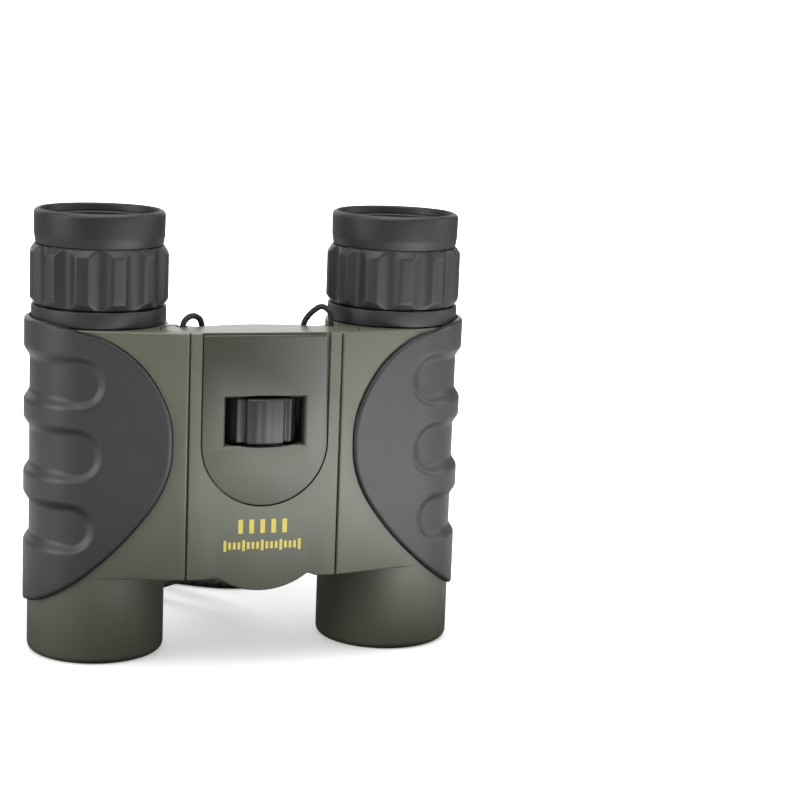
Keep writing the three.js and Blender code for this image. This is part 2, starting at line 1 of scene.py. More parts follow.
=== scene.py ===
"""Compact folding binoculars: the looks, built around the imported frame.

Shapes are worked out in millimetres in the row frame (barrels: about their own optical axis) and
turned into metres when the mesh is made. Each sub-part has its own function.
"""
import json
import math

import bmesh
import bpy
import numpy as np
from mathutils import Matrix, Vector


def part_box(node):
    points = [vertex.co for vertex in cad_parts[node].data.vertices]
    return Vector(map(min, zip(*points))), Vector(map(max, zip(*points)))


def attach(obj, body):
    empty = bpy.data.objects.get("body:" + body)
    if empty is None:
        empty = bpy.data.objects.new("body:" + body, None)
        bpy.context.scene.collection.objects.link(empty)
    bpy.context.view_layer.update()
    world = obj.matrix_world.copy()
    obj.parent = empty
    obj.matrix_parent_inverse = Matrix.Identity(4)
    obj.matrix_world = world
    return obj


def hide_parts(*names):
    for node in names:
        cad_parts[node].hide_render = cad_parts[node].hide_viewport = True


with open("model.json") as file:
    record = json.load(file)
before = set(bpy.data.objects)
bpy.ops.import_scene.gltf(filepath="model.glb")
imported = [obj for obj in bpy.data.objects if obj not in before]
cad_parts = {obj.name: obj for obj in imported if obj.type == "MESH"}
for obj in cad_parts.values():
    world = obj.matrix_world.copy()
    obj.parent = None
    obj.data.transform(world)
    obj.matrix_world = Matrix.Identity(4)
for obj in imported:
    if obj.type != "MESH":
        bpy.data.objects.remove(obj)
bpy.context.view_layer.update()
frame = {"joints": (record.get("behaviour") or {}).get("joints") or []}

MM = 0.001
JOINTS = {j["name"]: j for j in frame["joints"]}
SIDES = ((1, "right"), (-1, "left"))


def in_mm(point):
    return np.array(point, float) / MM


# ---------------------------------------------------------------- sizes
# In mm, read from the frame where it states them and otherwise as its solids have them
AXIS = in_mm(JOINTS["right_eyecup_twist"]["pos_m"])  # the right barrel's optical axis
HINGE = in_mm(JOINTS["right_barrel_fold"]["pos_m"])
WHEEL = in_mm(JOINTS["focus_wheel_turn"]["pos_m"])
SHIFT_Y = AXIS[1]  # row frame's y of the barrel axes
HINGE_IN = HINGE[:2] - AXIS[:2]  # hinge axis seen from the barrel axis
ON_AXIS, ON_HINGE, ON_WHEEL = ((*place[:2], 0) for place in (AXIS, HINGE, WHEEL))

GAP = 0.3
BARREL_R = 16.0
BORE_R = 13.4
KNUCKLE_R = 5.5
PIN_R = 1.8
LOW_KNUCKLE = (29.0, 37.6)
HIGH_KNUCKLE = (58.0, 69.7)
OPEN_HINGE = (LOW_KNUCKLE[1] + GAP, HIGH_KNUCKLE[0] - GAP)  # between the barrels' knuckles
PINS = {"lower": (21.6, 37.2), "upper": (58.4, 76.6)}
PIN_BORE = (21.3, 76.9)
SPINDLE_BORE_R = 2.3
TUBE_R = 13.1  # eyepiece tube and prism cage
SLEEVE_R = 14.2
YOKE_Z = (42.5, 45.0)
YOKE_HALF = 2.3
YOKE_PIN_R = 1.5
ARM_Z = (45.4, 47.8)  # the focusing cell's arm
PRISM_HALF = 8.3
BODY_BOTTOM = 20.6
BODY_TOP = in_mm(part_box("bridge_housing")[1])[2]
FRONT_Y = in_mm(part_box("bridge_housing")[0])[1]
SEAM_X = HINGE[0] - GAP / 2
RING_LOW, RING_HIGH = (in_mm(corner)[2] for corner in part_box("right_eyecup_ring"))
RING_R = 16.05
EYECUP_TOP = in_mm(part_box("right_rubber_eyecup")[1])[2]
WHEEL_LOW, WHEEL_HIGH = (in_mm(corner)[2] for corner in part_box("focus_wheel_tyre"))
WHEEL_R = 9.3
GRIP_TOP = in_mm(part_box("right_grip")[1])[2]
GRIP_PROUD = 1.05
WINDOW_X = 9.4
WINDOW_Z = (51.9, 63.2)
COVER_HALF = 14.7
COVER_BEND_Z = 52.6
COVER_TOP = 77.5

# ---------------------------------------------------------------- camera and light
LENS_MM = 94.55
CAMERA_PLACE = (-109.2, -479.8 + SHIFT_Y, 151.3)
CAMERA_TURN = (-17.08, -10.52, 2.23)  # yaw, pitch and roll in degrees
LIT_POINT = (0, 0, 0.05)
SOFTBOXES = {
    "left": ((-0.95, -0.2, 0.35), (0.5, 0.8), 6.0),
    "right": ((0.95, -0.2, 0.35), (0.5, 0.8), 3.8),
    "front_right": ((0.5, -0.75, 0.35), (0.5, 0.8), 1.4),
    "front": ((-0.35, -0.6, 0.8), (0.5, 0.4), 2.2),
    "top": ((0, 0, 1.0), (1.0, 1.0), 12.0),
    "back": ((0, 1.0, 0.45), (1.6, 0.8), 5.0),
}  # place, size and power
WHITE = (1, 1, 1, 1)
SKY = 1.1  # world light to the camera
FILL = (0.03, 0.3)  # world light from the front and from the back, to everything else
FILL_RISE = (-0.7, 0.1)  # how far back it starts to rise and stops
GLOW = 0.40  # how much the paper shines by itself near the object
PAPER = 0.8  # the paper's grey to the camera
PAINTED_SHADOW_SHARE = 0.5  # the share of that left under the object: a painted shadow on the paper
BOUNCE = 0.7  # the paper's grey to everything else, from some way off
FAR_BOUNCE = 0.3  # the share of that left further off
PATCH = 5.8  # strength of the bright patch in front
PATCH_AT = (0.12, -0.2)


def new_linked(name, data):
    """An object of the data, in the scene."""
    obj = bpy.data.objects.new(name, data)
    bpy.context.scene.collection.objects.link(obj)
    return obj


def add_node(tree, kind, inputs=None, **settings):
    """A node with its settings made and its inputs set or linked, by name or number."""
    node = tree.nodes.new(kind)
    for name, value in settings.items():
        setattr(node, name, value)
    for socket, value in (inputs or {}).items():
        if isinstance(value, bpy.types.NodeSocket):
            tree.links.new(value, node.inputs[socket])
        else:
            node.inputs[socket].default_value = value
    return node


def map_range(tree, value, start, end, kind="LINEAR"):
    """value over start[0]..start[1] gives end[0]..end[1]"""
    limits = dict(zip(("From Min", "From Max", "To Min", "To Max"), (*start, *end)))
    inputs = {**limits, "Value": value}
    return add_node(tree, "ShaderNodeMapRange", inputs, interpolation_type=kind).outputs["Result"]


def look_matrix(place, yaw, pitch, roll):
    """Camera matrix from angles in degrees; yaw 0 looks along +Y, and roll leans it to the right."""
    yaw, pitch, roll = (math.radians(a) for a in (yaw, pitch, roll))
    forward = Vector(
        (-math.sin(yaw) * math.cos(pitch), math.cos(yaw) * math.cos(pitch), math.sin(pitch))
    )
    flat_right = Vector((math.cos(yaw), math.sin(yaw), 0))
    flat_up = flat_right.cross(forward)
    right = math.cos(roll) * flat_right + math.sin(roll) * flat_up
    up = -math.sin(roll) * flat_right + math.cos(roll) * flat_up
    turn = Matrix((right, up, -forward)).transposed()
    return Matrix.Translation(place) @ turn.to_4x4()


def make_camera():
    data = bpy.data.cameras.new("camera")
    data.lens = LENS_MM
    data.sensor_width = 36
    camera = new_linked("camera", data)
    camera.matrix_world = look_matrix(Vector(CAMERA_PLACE) * MM, *CAMERA_TURN)
    bpy.context.scene.camera = camera


def area_light(name, place, size, power):
    """A soft rectangle of light that faces the object and is not seen itself."""
    data = bpy.data.lights.new(name, "AREA")
    data.shape = "RECTANGLE"
    data.size, data.size_y = size
    data.energy = power
    light = new_linked(name, data)
    way = (Vector(LIT_POINT) - Vector(place)).normalized()
    turn = way.to_track_quat("-Z", "Y").to_matrix().to_4x4()
    light.matrix_world = Matrix.Translation(place) @ turn
    light.visible_camera = False


def make_world():
    """White to the camera; for everything else a dim fill, stronger from the sides and back."""
    world = bpy.data.worlds.new("studio")
    bpy.context.scene.world = world
    world.use_nodes = True
    tree = world.node_tree
    tree.nodes.clear()
    way = add_node(tree, "ShaderNodeTexCoord").outputs["Generated"]
    split = add_node(tree, "ShaderNodeSeparateXYZ", {0: way})
    level = map_range(tree, split.outputs[1], FILL_RISE, FILL)
    seen = add_node(tree, "ShaderNodeLightPath").outputs["Is Camera Ray"]
    skies = [
        add_node(tree, "ShaderNodeBackground", {"Strength": strength, "Color": WHITE}).outputs[0]
        for strength in (level, SKY)
    ]
    mix = add_node(tree, "ShaderNodeMixShader", {"Fac": seen, 1: skies[0], 2: skies[1]})
    add_node(tree, "ShaderNodeOutputWorld", {"Surface": mix.outputs[0]})


def make_floor():
    """White paper. It glows to the camera far away, so no horizon shows. The object is lit by a
    bright patch of it in front. Near the object's foot the paper is painted darker: a painted
    shadow to the camera, and painted shade to every other ray, so less light bounces onto the object."""
    half = 3.0
    mesh = bpy.data.meshes.new("floor")
    corners = [(-half, -half, 0), (half, -half, 0), (half, half, 0), (-half, half, 0)]
    mesh.from_pydata(corners, [], [(0, 1, 2, 3)])
    floor = new_linked("floor", mesh)
    paper = Shader("paper", (1, 1, 1), 0.9)
    paper.set("Specular IOR Level", 0.0)
    paper.set("Emission Color", WHITE)
    seen = paper.add("ShaderNodeLightPath").outputs["Is Camera Ray"]
    hidden = paper.math("SUBTRACT", 1.0, seen)

    def either(to_camera, to_rest):
        """One value to the camera and another to every other ray."""
        pair = (paper.math("MULTIPLY", to_camera, seen), paper.math("MULTIPLY", to_rest, hidden))
        return paper.math("ADD", *pair)

    glow = paper.rise(paper.away_from(0, 0), (0.12, 0.4), (GLOW, 1.2))
    patch = paper.rise(paper.away_from(*PATCH_AT), (0.04, 0.2), (PATCH, 0.0))
    paper.link(either(glow, patch), "Emission Strength")
    # Painted shadow: to the camera the paper is only half as light under the object.
    shade = paper.rise(paper.away_from(0, 0.03), (0.03, 0.08), (PAPER * PAINTED_SHADOW_SHARE, PAPER))
    # Painted shade: to every other ray the paper is nearly black near the object's foot, so little light
    # bounces onto the object.
    near = paper.rise(paper.away_from(0, 0), (0.045, 0.16), (0.03, BOUNCE))
    far = paper.rise(paper.away_from(0, 0), (0.25, 0.5), (1.0, FAR_BOUNCE))
    paper.link(either(shade, paper.math("MULTIPLY", near, far)), "Base Color")
    mesh.materials.append(paper.material)


def make_studio():
    bpy.context.scene.view_settings.view_transform = "Standard"
    for name, (place, size, power) in SOFTBOXES.items():
        area_light(f"softbox_{name}", place, size, power)
    make_world()
    make_floor()


# ---------------------------------------------------------------- materials
class Shader:
    """A Principled material with a few helpers for procedural detail."""

    def __init__(self, name, colour, roughness, metallic=0.0):
        self.material = bpy.data.materials.new(name)
        self.material.use_nodes = True
        self.tree = self.material.node_tree
        self.main = self.tree.nodes["Principled BSDF"]
        self.colour = colour
        self.set("Base Color", (*colour, 1.0))
        self.set("Roughness", roughness)
        self.set("Metallic", metallic)
        self.place = self.add("ShaderNodeTexCoord").outputs["Object"]
        self.height = None

    def add(self, kind, inputs=None, **settings):
        return add_node(self.tree, kind, inputs, **settings)

    def set(self, socket, value):
        self.main.inputs[socket].default_value = value

    def link(self, output, socket):
        self.tree.links.new(output, self.main.inputs[socket])

    def noise(self, scale, detail=2.0, roughness=0.5):
        inputs = {"Scale": scale, "Detail": detail, "Roughness": roughness, "Vector": self.place}
        return self.add("ShaderNodeTexNoise", inputs).outputs["Fac"]

    def math(self, operation, *values):
        return self.add("ShaderNodeMath", dict(enumerate(values)), operation=operation).outputs[0]

    def split(self, vector):
        return self.add("ShaderNodeSeparateXYZ", {0: vector}).outputs

    def spread(self, value, low, high):
        """value from 0..1 to low..high"""
        return map_range(self.tree, value, (0, 1), (low, high))

    def rise(self, value, start, end):
        """A smooth step: value over start[0]..start[1] gives end[0]..end[1]"""
        return map_range(self.tree, value, start, end, "SMOOTHSTEP")

    def away_from(self, x, y):
        """Distance from the upright line through (x, y), in metres."""
        here = self.split(self.place)
        squares = [
            self.math("POWER", self.math("SUBTRACT", here[i], middle), 2.0)
            for i, middle in enumerate((x, y))
        ]
        return self.math("SQRT", self.math("ADD", *squares))

    def ramp(self, value, stops):
        node = self.add("ShaderNodeValToRGB", {"Fac": value})
        elements = node.color_ramp.elements
        while len(elements) < len(stops):
            elements.new(0.5)
        for element, (at, colour) in zip(elements, stops):
            element.position = at
            element.color = (*colour, 1.0)
        return node.outputs["Color"]

    def mottle(self, scale, amount):
        """The base colour varies a little over the surface."""
        low = tuple(c * (1 - amount) for c in self.colour)
        high = tuple(min(1, c * (1 + amount)) for c in self.colour)
        self.link(self.ramp(self.noise(scale, 3.0), [(0.3, low), (0.7, high)]), "Base Color")

    def paint_shade_upwards(self, low, high, share):
        """Painted shade: the base colour falls to a share of itself between two heights in metres."""
        colour = self.main.inputs["Base Color"].links[0].from_socket
        fall = self.rise(self.split(self.place)[2], (low, high), (1.0, share))
        scaled = self.add("ShaderNodeVectorMath", operation="SCALE")
        self.tree.links.new(colour, scaled.inputs[0])
        self.tree.links.new(fall, scaled.inputs["Scale"])
        self.link(scaled.outputs[0], "Base Color")

    def bump(self, height, distance, strength=1.0):
        inputs = {"Distance": distance, "Strength": strength, "Height": height}
        if self.height is not None:
            inputs["Normal"] = self.height
        self.height = self.add("ShaderNodeBump", inputs).outputs["Normal"]
        self.link(self.height, "Normal")


def moulded(name, colour, roughness, grain=2600, depth=0.00002):
    """Moulded plastic or rubber with a fine spark-eroded grain and faint flow marks."""
    shader = Shader(name, colour, roughness)
    shader.mottle(90, 0.06)
    shader.link(shader.spread(shader.noise(260, 3), roughness - 0.05, roughness + 0.05), "Roughness")
    shader.bump(shader.noise(grain, 2, 0.6), depth)
    shader.bump(shader.noise(70, 1), depth * 2, 0.4)
    return shader


def metal(name, colour, roughness):
    marks = 900  # per metre, of faint wear
    shader = Shader(name, colour, roughness, 1.0)
    shader.mottle(400, 0.08)
    shader.link(shader.spread(shader.noise(marks, 3), roughness - 0.08, roughness + 0.1), "Roughness")
    shader.bump(shader.noise(marks * 3, 2), 0.000008)
    return shader


def glass(name, colour, coat_tint):
    """Coated lens: dark, mirror-smooth, with a faint tint in its reflection."""
    shader = Shader(name, colour, 0.03)
    shader.set("IOR", 1.52)
    shader.set("Specular Tint", (*coat_tint, 1.0))
    shader.set("Coat Weight", 0.6)
    shader.set("Coat Roughness", 0.02)
    shader.set("Coat Tint", (*coat_tint, 1.0))
    # Painted sheen: the base colour is halved where the glass faces the view and full at grazing angles.
    weight = shader.add("ShaderNodeLayerWeight", {"Blend": 0.35})
    dark = tuple(c * 0.5 for c in colour)
    shader.link(shader.ramp(weight.outputs["Facing"], [(0.0, dark), (1.0, colour)]), "Base Color")
    return shader


def braid(name, colour, turn_length):
    """Braided cord. The curve's UV map runs 0..1 along the cord, so turn_length is a share of it."""
    shader = Shader(name, colour, 0.75)
    uv = shader.split(shader.add("ShaderNodeTexCoord").outputs["UV"])
    along = shader.math("DIVIDE", uv[0], turn_length)
    around = shader.math("MULTIPLY", uv[1], 4.0)
    waves = [
        shader.math("SINE", shader.math("MULTIPLY", shader.math(way, along, around), math.tau))
        for way in ("ADD", "SUBTRACT")
    ]
    height = shader.spread(shader.math("MAXIMUM", *waves), 0.0, 1.0)
    shader.bump(height, 0.00018)
    shader.bump(shader.noise(9000, 2), 0.00004)
    # Painted shade and highlight: the base colour is darker in the weave's grooves and lighter on its
    # raised strands.
    light = tuple(c * 2.2 for c in colour)
    shader.link(shader.ramp(height, [(0.2, colour), (0.9, light)]), "Base Color")
    shader.set("Sheen Weight", 0.15)
    shader.set("Sheen Roughness", 0.5)
    return shader


def make_materials():
    looks = {
        "olive": moulded("body_olive", (0.092, 0.103, 0.073), 0.34),
        "cover": moulded("cover_olive", (0.067, 0.076, 0.052), 0.34),
        "grip": moulded("grip_rubber", (0.026, 0.0264, 0.027), 0.42, grain=1800, depth=0.00003),
        "eyecup": moulded("eyecup_rubber", (0.008, 0.0078, 0.008), 0.5, grain=2200),
        "ring": moulded("ring_black", (0.015, 0.015, 0.0154), 0.45, grain=3000, depth=0.000012),
        "collar": moulded("collar_black", (0.015, 0.015, 0.0154), 0.5, grain=3000, depth=0.000012),
        "wheel": moulded("wheel_black", (0.020, 0.020, 0.0197), 0.38, grain=3000),
        "black": moulded("optics_black", (0.012, 0.012, 0.013), 0.6, grain=3000),
        "slider": moulded("slider_black", (0.02, 0.02, 0.021), 0.4),
        "pin": metal("hinge_pin_steel", (0.09, 0.09, 0.092), 0.45),
        "steel": metal("steel", (0.62, 0.62, 0.63), 0.28),
        "brass": metal("brass", (0.62, 0.46, 0.2), 0.32),
        "bronze": metal("dark_bronze", (0.15, 0.11, 0.055), 0.42),
        "objective": glass("objective_glass", (0.03, 0.012, 0.045), (0.75, 0.45, 1.0)),
        "ocular": glass("ocular_glass", (0.01, 0.02, 0.03), (0.6, 0.8, 1.0)),
        "prism": glass("prism_glass", (0.2, 0.23, 0.25), (1.0, 1.0, 1.0)),
        "gold": Shader("print_gold", (0.64, 0.52, 0.08), 0.4),
        "cord": braid("neck_cord_weave", (0.008, 0.008, 0.009), 0.0035),
        "thin_cord": braid("loop_cord_weave", (0.008, 0.008, 0.009), 0.035),
    }
    # Painted shade: the front cover's base colour falls to half towards its top, so its top looks less
    # lit.
    looks["cover"].paint_shade_upwards(0.048, 0.076, 0.5)
    looks["gold"].bump(looks["gold"].noise(4000, 2), 0.00001)
    return {name: shader.material for name, shader in looks.items()}


# ---------------------------------------------------------------- mesh helpers
def new_object(name, vertices, faces, material, sharp=32.0):
    """A smooth-shaded mesh object; vertices in mm in the row frame, and equal ones are merged."""
    mesh = bpy.data.meshes.new(name)
    mesh.from_pydata((np.asarray(vertices, float) * MM).tolist(), [], faces)
    form = bmesh.new()
    form.from_mesh(mesh)
    bmesh.ops.remove_doubles(form, verts=form.verts, dist=0.001 * MM)
    form.to_mesh(mesh)
    form.free()
    obj = new_linked(name, mesh)
    if material is not None:
        mesh.materials.append(material)
    shade(obj, sharp)
    return obj


def shade(obj, sharp=32.0):
    obj.data.shade_smooth()
    obj.data.set_sharp_from_angle(angle=math.radians(sharp))


def finish_piece(obj, body, slot, *nodes):
    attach(obj, body)
    if nodes:
        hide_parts(*nodes)
    return obj


def placed(vertices, side=1, origin=(0, 0, 0)):
    """Local mm to row-frame mm; side -1 mirrors the piece about the middle plane."""
    vertices = np.asarray(vertices, float) + np.array(origin, float)
    return vertices * np.array([side, 1, 1])


def unit(ways):
    """The same directions, each of length 1."""
    return ways / np.linalg.norm(ways, axis=1)[:, None]


def outward(steps):
    """Unit normals to the right of each flat step."""
    ways = unit(steps)
    return np.stack([ways[:, 1], -ways[:, 0]], 1)


def facing(faces, side):
    return [tuple(reversed(face)) for face in faces] if side < 0 else faces


def solid(name, mesh, look, side=1, origin=(0, 0, 0), sharp=32.0):
    """An object from a local mesh, put in its place and on its side."""
    vertices, faces = mesh
    return new_object(name, placed(vertices, side, origin), facing(faces, side), look, sharp)


def grid_faces(rows, columns, wrap_rows=False, wrap_columns=True):
    """Quads between neighbouring rows of points; each row runs anticlockwise seen from +Z."""
    faces = []
    for i in range(rows if wrap_rows else rows - 1):
        low, high = i * columns, ((i + 1) % rows) * columns
        for j in range(columns if wrap_columns else columns - 1):
            k = (j + 1) % columns
            faces.append((low + j, low + k, high + k, high + j))
    return faces


def arc(x, y, r, start, end, steps):
    angles = np.radians(np.linspace(start, end, steps + 1))
    return [(x + r * math.cos(a), y + r * math.sin(a)) for a in angles]


def rounded(corners, steps=5):
    """Closed outline from (x, y, radius) corners, each turned into an arc of that radius."""
    points = []
    count = len(corners)
    for i, (x, y, r) in enumerate(corners):
        here = np.array([x, y], float)
        if r <= 0:
            points.append((x, y))
            continue
        back = np.array(corners[i - 1][:2], float) - here
        ahead = np.array(corners[(i + 1) % count][:2], float) - here
        back /= np.linalg.norm(back)
        ahead /= np.linalg.norm(ahead)
        half = math.acos(np.clip(back @ ahead, -1, 1)) / 2
        reach = r / math.tan(half)
        middle = here + (back + ahead) / np.linalg.norm(back + ahead) * r / math.sin(half)
        first = here + back * reach - middle
        last = here + ahead * reach - middle
        start = math.atan2(first[1], first[0])
        sweep = (math.atan2(last[1], last[0]) - start + math.pi) % math.tau - math.pi
        for k in range(steps + 1):
            angle = start + sweep * k / steps
            points.append((middle[0] + r * math.cos(angle), middle[1] + r * math.sin(angle)))
    return points


def band(inner, outer, low, high, corners, steps=3):
    """A ring's section, with corner radii listed anticlockwise from its inner foot."""
    places = ((inner, low), (outer, low), (outer, high), (inner, high))
    return rounded([(*place, r) for place, r in zip(places, corners)], steps)


def turned(profile, segments=96, radius_of=None):
    """Closed (radius, height) profile, listed anticlockwise, turned about Z.

    radius_of(angle, r, z) may change the radius around the turn.
    """
    angles = np.linspace(0, math.tau, segments, endpoint=False)
    rows = []
    for r, z in profile:
        radii = [radius_of(a, r, z) if radius_of else r for a in angles]
        rows.append([(s * math.cos(a), s * math.sin(a), z) for a, s in zip(angles, radii)])
    vertices = np.array(rows).reshape(-1, 3)
    return vertices, grid_faces(len(profile), segments, wrap_rows=True)


def lens(profile, segments=96):
    """Like turned, but the profile starts and ends on the axis, from its low point to its high one."""
    vertices, _ = turned(profile[1:-1], segments)
    faces = grid_faces(len(profile) - 2, segments)
    low, high = len(vertices), len(vertices) + 1
    vertices = np.vstack([vertices, [[0, 0, profile[0][1]], [0, 0, profile[-1][1]]]])
    last = (len(profile) - 3) * segments
    for j in range(segments):
        k = (j + 1) % segments
        faces.append((low, k, j))
        faces.append((high, last + j, last + k))
    return vertices, faces


def evaluated(obj):
    """Applies the object's modifiers to its mesh."""
    bpy.context.view_layer.update()
    graph = bpy.context.evaluated_depsgraph_get()
    mesh = bpy.data.meshes.new_from_object(obj.evaluated_get(graph))
    obj.modifiers.clear()
    obj.data = mesh


def carve(obj, tools, operation="DIFFERENCE", sharp=32.0):
    """Cuts the tools out of obj, or joins them to it, and deletes them."""
    for tool in tools:
        modifier = obj.modifiers.new("carve", "BOOLEAN")
        modifier.operation = operation
        modifier.solver = "EXACT"
        modifier.object = tool
    evaluated(obj)
    for tool in tools:
        bpy.data.objects.remove(tool)
    shade(obj, sharp)


def tool(mesh, side=1, origin=(0, 0, 0)):
    return solid("tool", mesh, None, side, origin)


def prism_mesh(points, low, high):
    """Flat outline (anticlockwise) raised from low to high along Z."""
    count = len(points)
    vertices = [(x, y, low) for x, y in points] + [(x, y, high) for x, y in points]
    faces = [tuple(reversed(range(count))), tuple(range(count, 2 * count))]
    faces += grid_faces(2, count)
    return np.array(vertices), faces


def slab_mesh(points, front, back):
    """Flat (x, z) outline, anticlockwise seen from the front, run from front to back along Y."""
    vertices, faces = prism_mesh(points, -back, -front)
    return vertices[:, [0, 2, 1]] * np.array([1, -1, 1]), faces


def cylinder_mesh(r, low, high, segments=96):
    return prism_mesh(arc(0, 0, r, 0, 360 - 360 / segments, segments - 1), low, high)


def loft_across(ring, half, columns, edge):
    """Skin from one end wall at -half to the other at half, with rounded edges at both."""
    ends = [(half - rise, inset) for inset, rise in edge]
    rings = [ring(-x, inset) for x, inset in ends] + [ring(x, 0) for x in columns]
    return loft(rings + [ring(x, inset) for x, inset in reversed(ends)])


def box_mesh(x, y, z):
    return prism_mesh([(x[0], y[0]), (x[1], y[0]), (x[1], y[1]), (x[0], y[1])], *z)


def loft(rings):
    """Closed skin over rings of points, with the first and last filled in."""
    count = len(rings[0])
    vertices = np.array(rings).reshape(-1, 3)
    faces = facing(grid_faces(len(rings), count), -1)
    faces += [tuple(range(count)), tuple(reversed(range(len(vertices) - count, len(vertices))))]
    return vertices, faces


# ---------------------------------------------------------------- barrel section
TANGENT = math.radians(-76.9)
SEAM_IN = HINGE_IN[0] + GAP / 2
FRONT_IN = FRONT_Y - SHIFT_Y
BACK_IN = -5.6
WEB_CORNER_R = 0.45


class Section:
    """The barrel's outline seen from above: points and outward normals, anticlockwise.

    The first stretch is the round tube, the rest is the web round to the tube again.
    """

    def __init__(self):
        start, end = TANGENT, math.radians(200)
        angles = np.linspace(start, end, 112)
        tube = [(BARREL_R * math.cos(a), BARREL_R * math.sin(a)) for a in angles]
        front_touch = np.array(tube[0])
        web = rounded(
            [
                (*tube[-1], 0),
                (SEAM_IN, BACK_IN, 0.6),
                (SEAM_IN, FRONT_IN, WEB_CORNER_R),
                (*front_touch, 0),
            ]
        )[1:-1]
        front_start = np.array(web[-1])
        along = [front_start + (front_touch - front_start) * k / 14 for k in range(1, 14)]
        self.points = np.array([*tube, *web, *along])
        self.round = len(tube)
        self.normals = self._normals(angles)
        self.blend = self._blend()
        self.circle = self._circle(angles)

    def _normals(self, angles):
        ahead = unit(np.roll(self.points, -1, 0) - self.points)
        back = unit(self.points - np.roll(self.points, 1, 0))
        normals = outward(ahead + back)
        normals[: self.round] = np.stack([np.cos(angles), np.sin(angles)], 1)
        return normals

    def _blend(self):
        """1 along the web, fading to 0 where its faces run into the tube."""
        beyond = np.linalg.norm(self.points, axis=1) - BARREL_R
        return np.clip(beyond * 2 - 0.1, 0, 1)

    def _circle(self, angles):
        """For each outline point, the angle of the tube point under it."""
        web = len(self.points) - self.round
        rest = np.linspace(angles[-1], angles[0] + math.tau, web + 2)[1:-1]
        return np.concatenate([angles, rest])

    def ring(self, z, offset=0.0, weight=None):
        amount = offset * (self.blend if weight == "web" else 1.0)
        flat = self.points + self.normals * np.reshape(amount, (-1, 1))
        return np.column_stack([flat, np.full(len(flat), z)])

    def circle_ring(self, r, z):
        return np.column_stack(
            [r * np.cos(self.circle), r * np.sin(self.circle), np.full(len(self.circle), z)]
        )


SECTION = Section()


def fillet_steps(r, steps=4):
    """(inset, rise) pairs round a quarter turn, from the flat to the wall."""
    angles = np.linspace(0, math.pi / 2, steps + 1)
    return [(r * (1 - math.sin(a)), r * (1 - math.cos(a))) for a in angles]


def barrel_shell(side, name, looks):
    section = SECTION
    rings = [section.circle_ring(BORE_R, 1.0), section.circle_ring(BORE_R + 0.4, 0.0)]
    for inset, rise in fillet_steps(1.7, 6):
        rings.append(section.circle_ring(BARREL_R - inset, rise))
    rings.append(section.circle_ring(BARREL_R, BODY_BOTTOM))
    for inset, rise in fillet_steps(0.4):
        rings.append(section.ring(BODY_BOTTOM + rise, -inset, "web"))
    for inset, rise in reversed(fillet_steps(0.4)):
        rings.append(section.ring(BODY_TOP - rise, -inset))
    rings.append(section.circle_ring(BORE_R + 0.3, BODY_TOP))
    rings.append(section.circle_ring(BORE_R, BODY_TOP - 0.3))
    mesh = (np.vstack(rings), grid_faces(len(rings), len(section.points), wrap_rows=True))
    shell = solid(f"{name}_shell", mesh, looks["olive"], side, ON_AXIS)
    spaces = ((10, LOW_KNUCKLE[0]), (LOW_KNUCKLE[1], HIGH_KNUCKLE[0]), (HIGH_KNUCKLE[1], 90))
    voids = [hinge_drum(KNUCKLE_R + GAP, *z, side) for z in spaces]
    carve(shell, voids + [grip_tool(side)])
    carve(shell, [knuckle(*z, side) for z in (LOW_KNUCKLE, HIGH_KNUCKLE)], "UNION")
    pin_bore = hinge_drum(PIN_R + GAP, BODY_BOTTOM, BODY_TOP, side)
    carve(shell, [tool(arm_slot(), side, ON_AXIS), pin_bore])
    return finish_piece(shell, f"{name}_barrel", "body_olive", f"{name}_barrel_shell")


def knuckle(low, high, side):
    """Hinge knuckle reaching a little into the web beside it; the pin's bore is cut once it is joined to
    the shell.
    """
    outline = arc(0, 0, KNUCKLE_R, -62, 298, 80)[:-1]
    outline = [p if p[0] < 4.2 else (p[0] + 0.6, p[1]) for p in outline]
    return tool(prism_mesh(outline, low, high), side, ON_HINGE)


def arm_slot():
    """Where the focusing cell's arm passes through the web, along the line to the hinge."""
    vertices, faces = box_mesh((8, 20), (-2.3, 2.3), (41, 51))
    turn = math.atan2(HINGE_IN[1], HINGE_IN[0])
    spin = np.array([[math.cos(turn), -math.sin(turn)], [math.sin(turn), math.cos(turn)]])
    vertices[:, :2] = vertices[:, :2] @ spin.T
    return vertices, faces


# ---------------------------------------------------------------- grips
GRIP_EDGE = [
    (13.5, GRIP_TOP), (10, 78.6), (6, 77.6), (2.8, 76.8), (-0.6, 75.3), (-4.1, 73),
    (-7.5, 69.8), (-10.3, 65.8), (-12.5, 61.4), (-13.7, 57), (-14, 52), (-13.6, 47),
    (-12.3, 42.6), (-10.3, 38.5), (-7.7, 34.7), (-4.8, 31), (-1.5, 27.3), (2.2, 23.7),
    (6.4, 20), (11, 16.4), (15.9, 12.7),
]  # (x, z) about the barrel's axis, from the top round the middle to the foot
GRIP_FOOT = GRIP_EDGE[-1][1]
GRIP_BACK_ANGLE = math.acos(-9 / BARREL_R)
LINE_LENGTH = float(
    np.linalg.norm(
        np.array([SEAM_IN, FRONT_IN])
        - BARREL_R * np.array([math.cos(TANGENT), math.sin(TANGENT)])
    )
)
GRIP_ROUND = 0.8  # radius of the rubber's edge
HOLLOW_DEPTH = 1.3
HOLLOW_END_ANGLE = 52  # degrees round the tube
HOLLOWS = ((66.1, 6.4, 0.4), (49.4, 6.7, 1.0), (32.3, 6.2, 2.6))  # middle z, half height, inner x


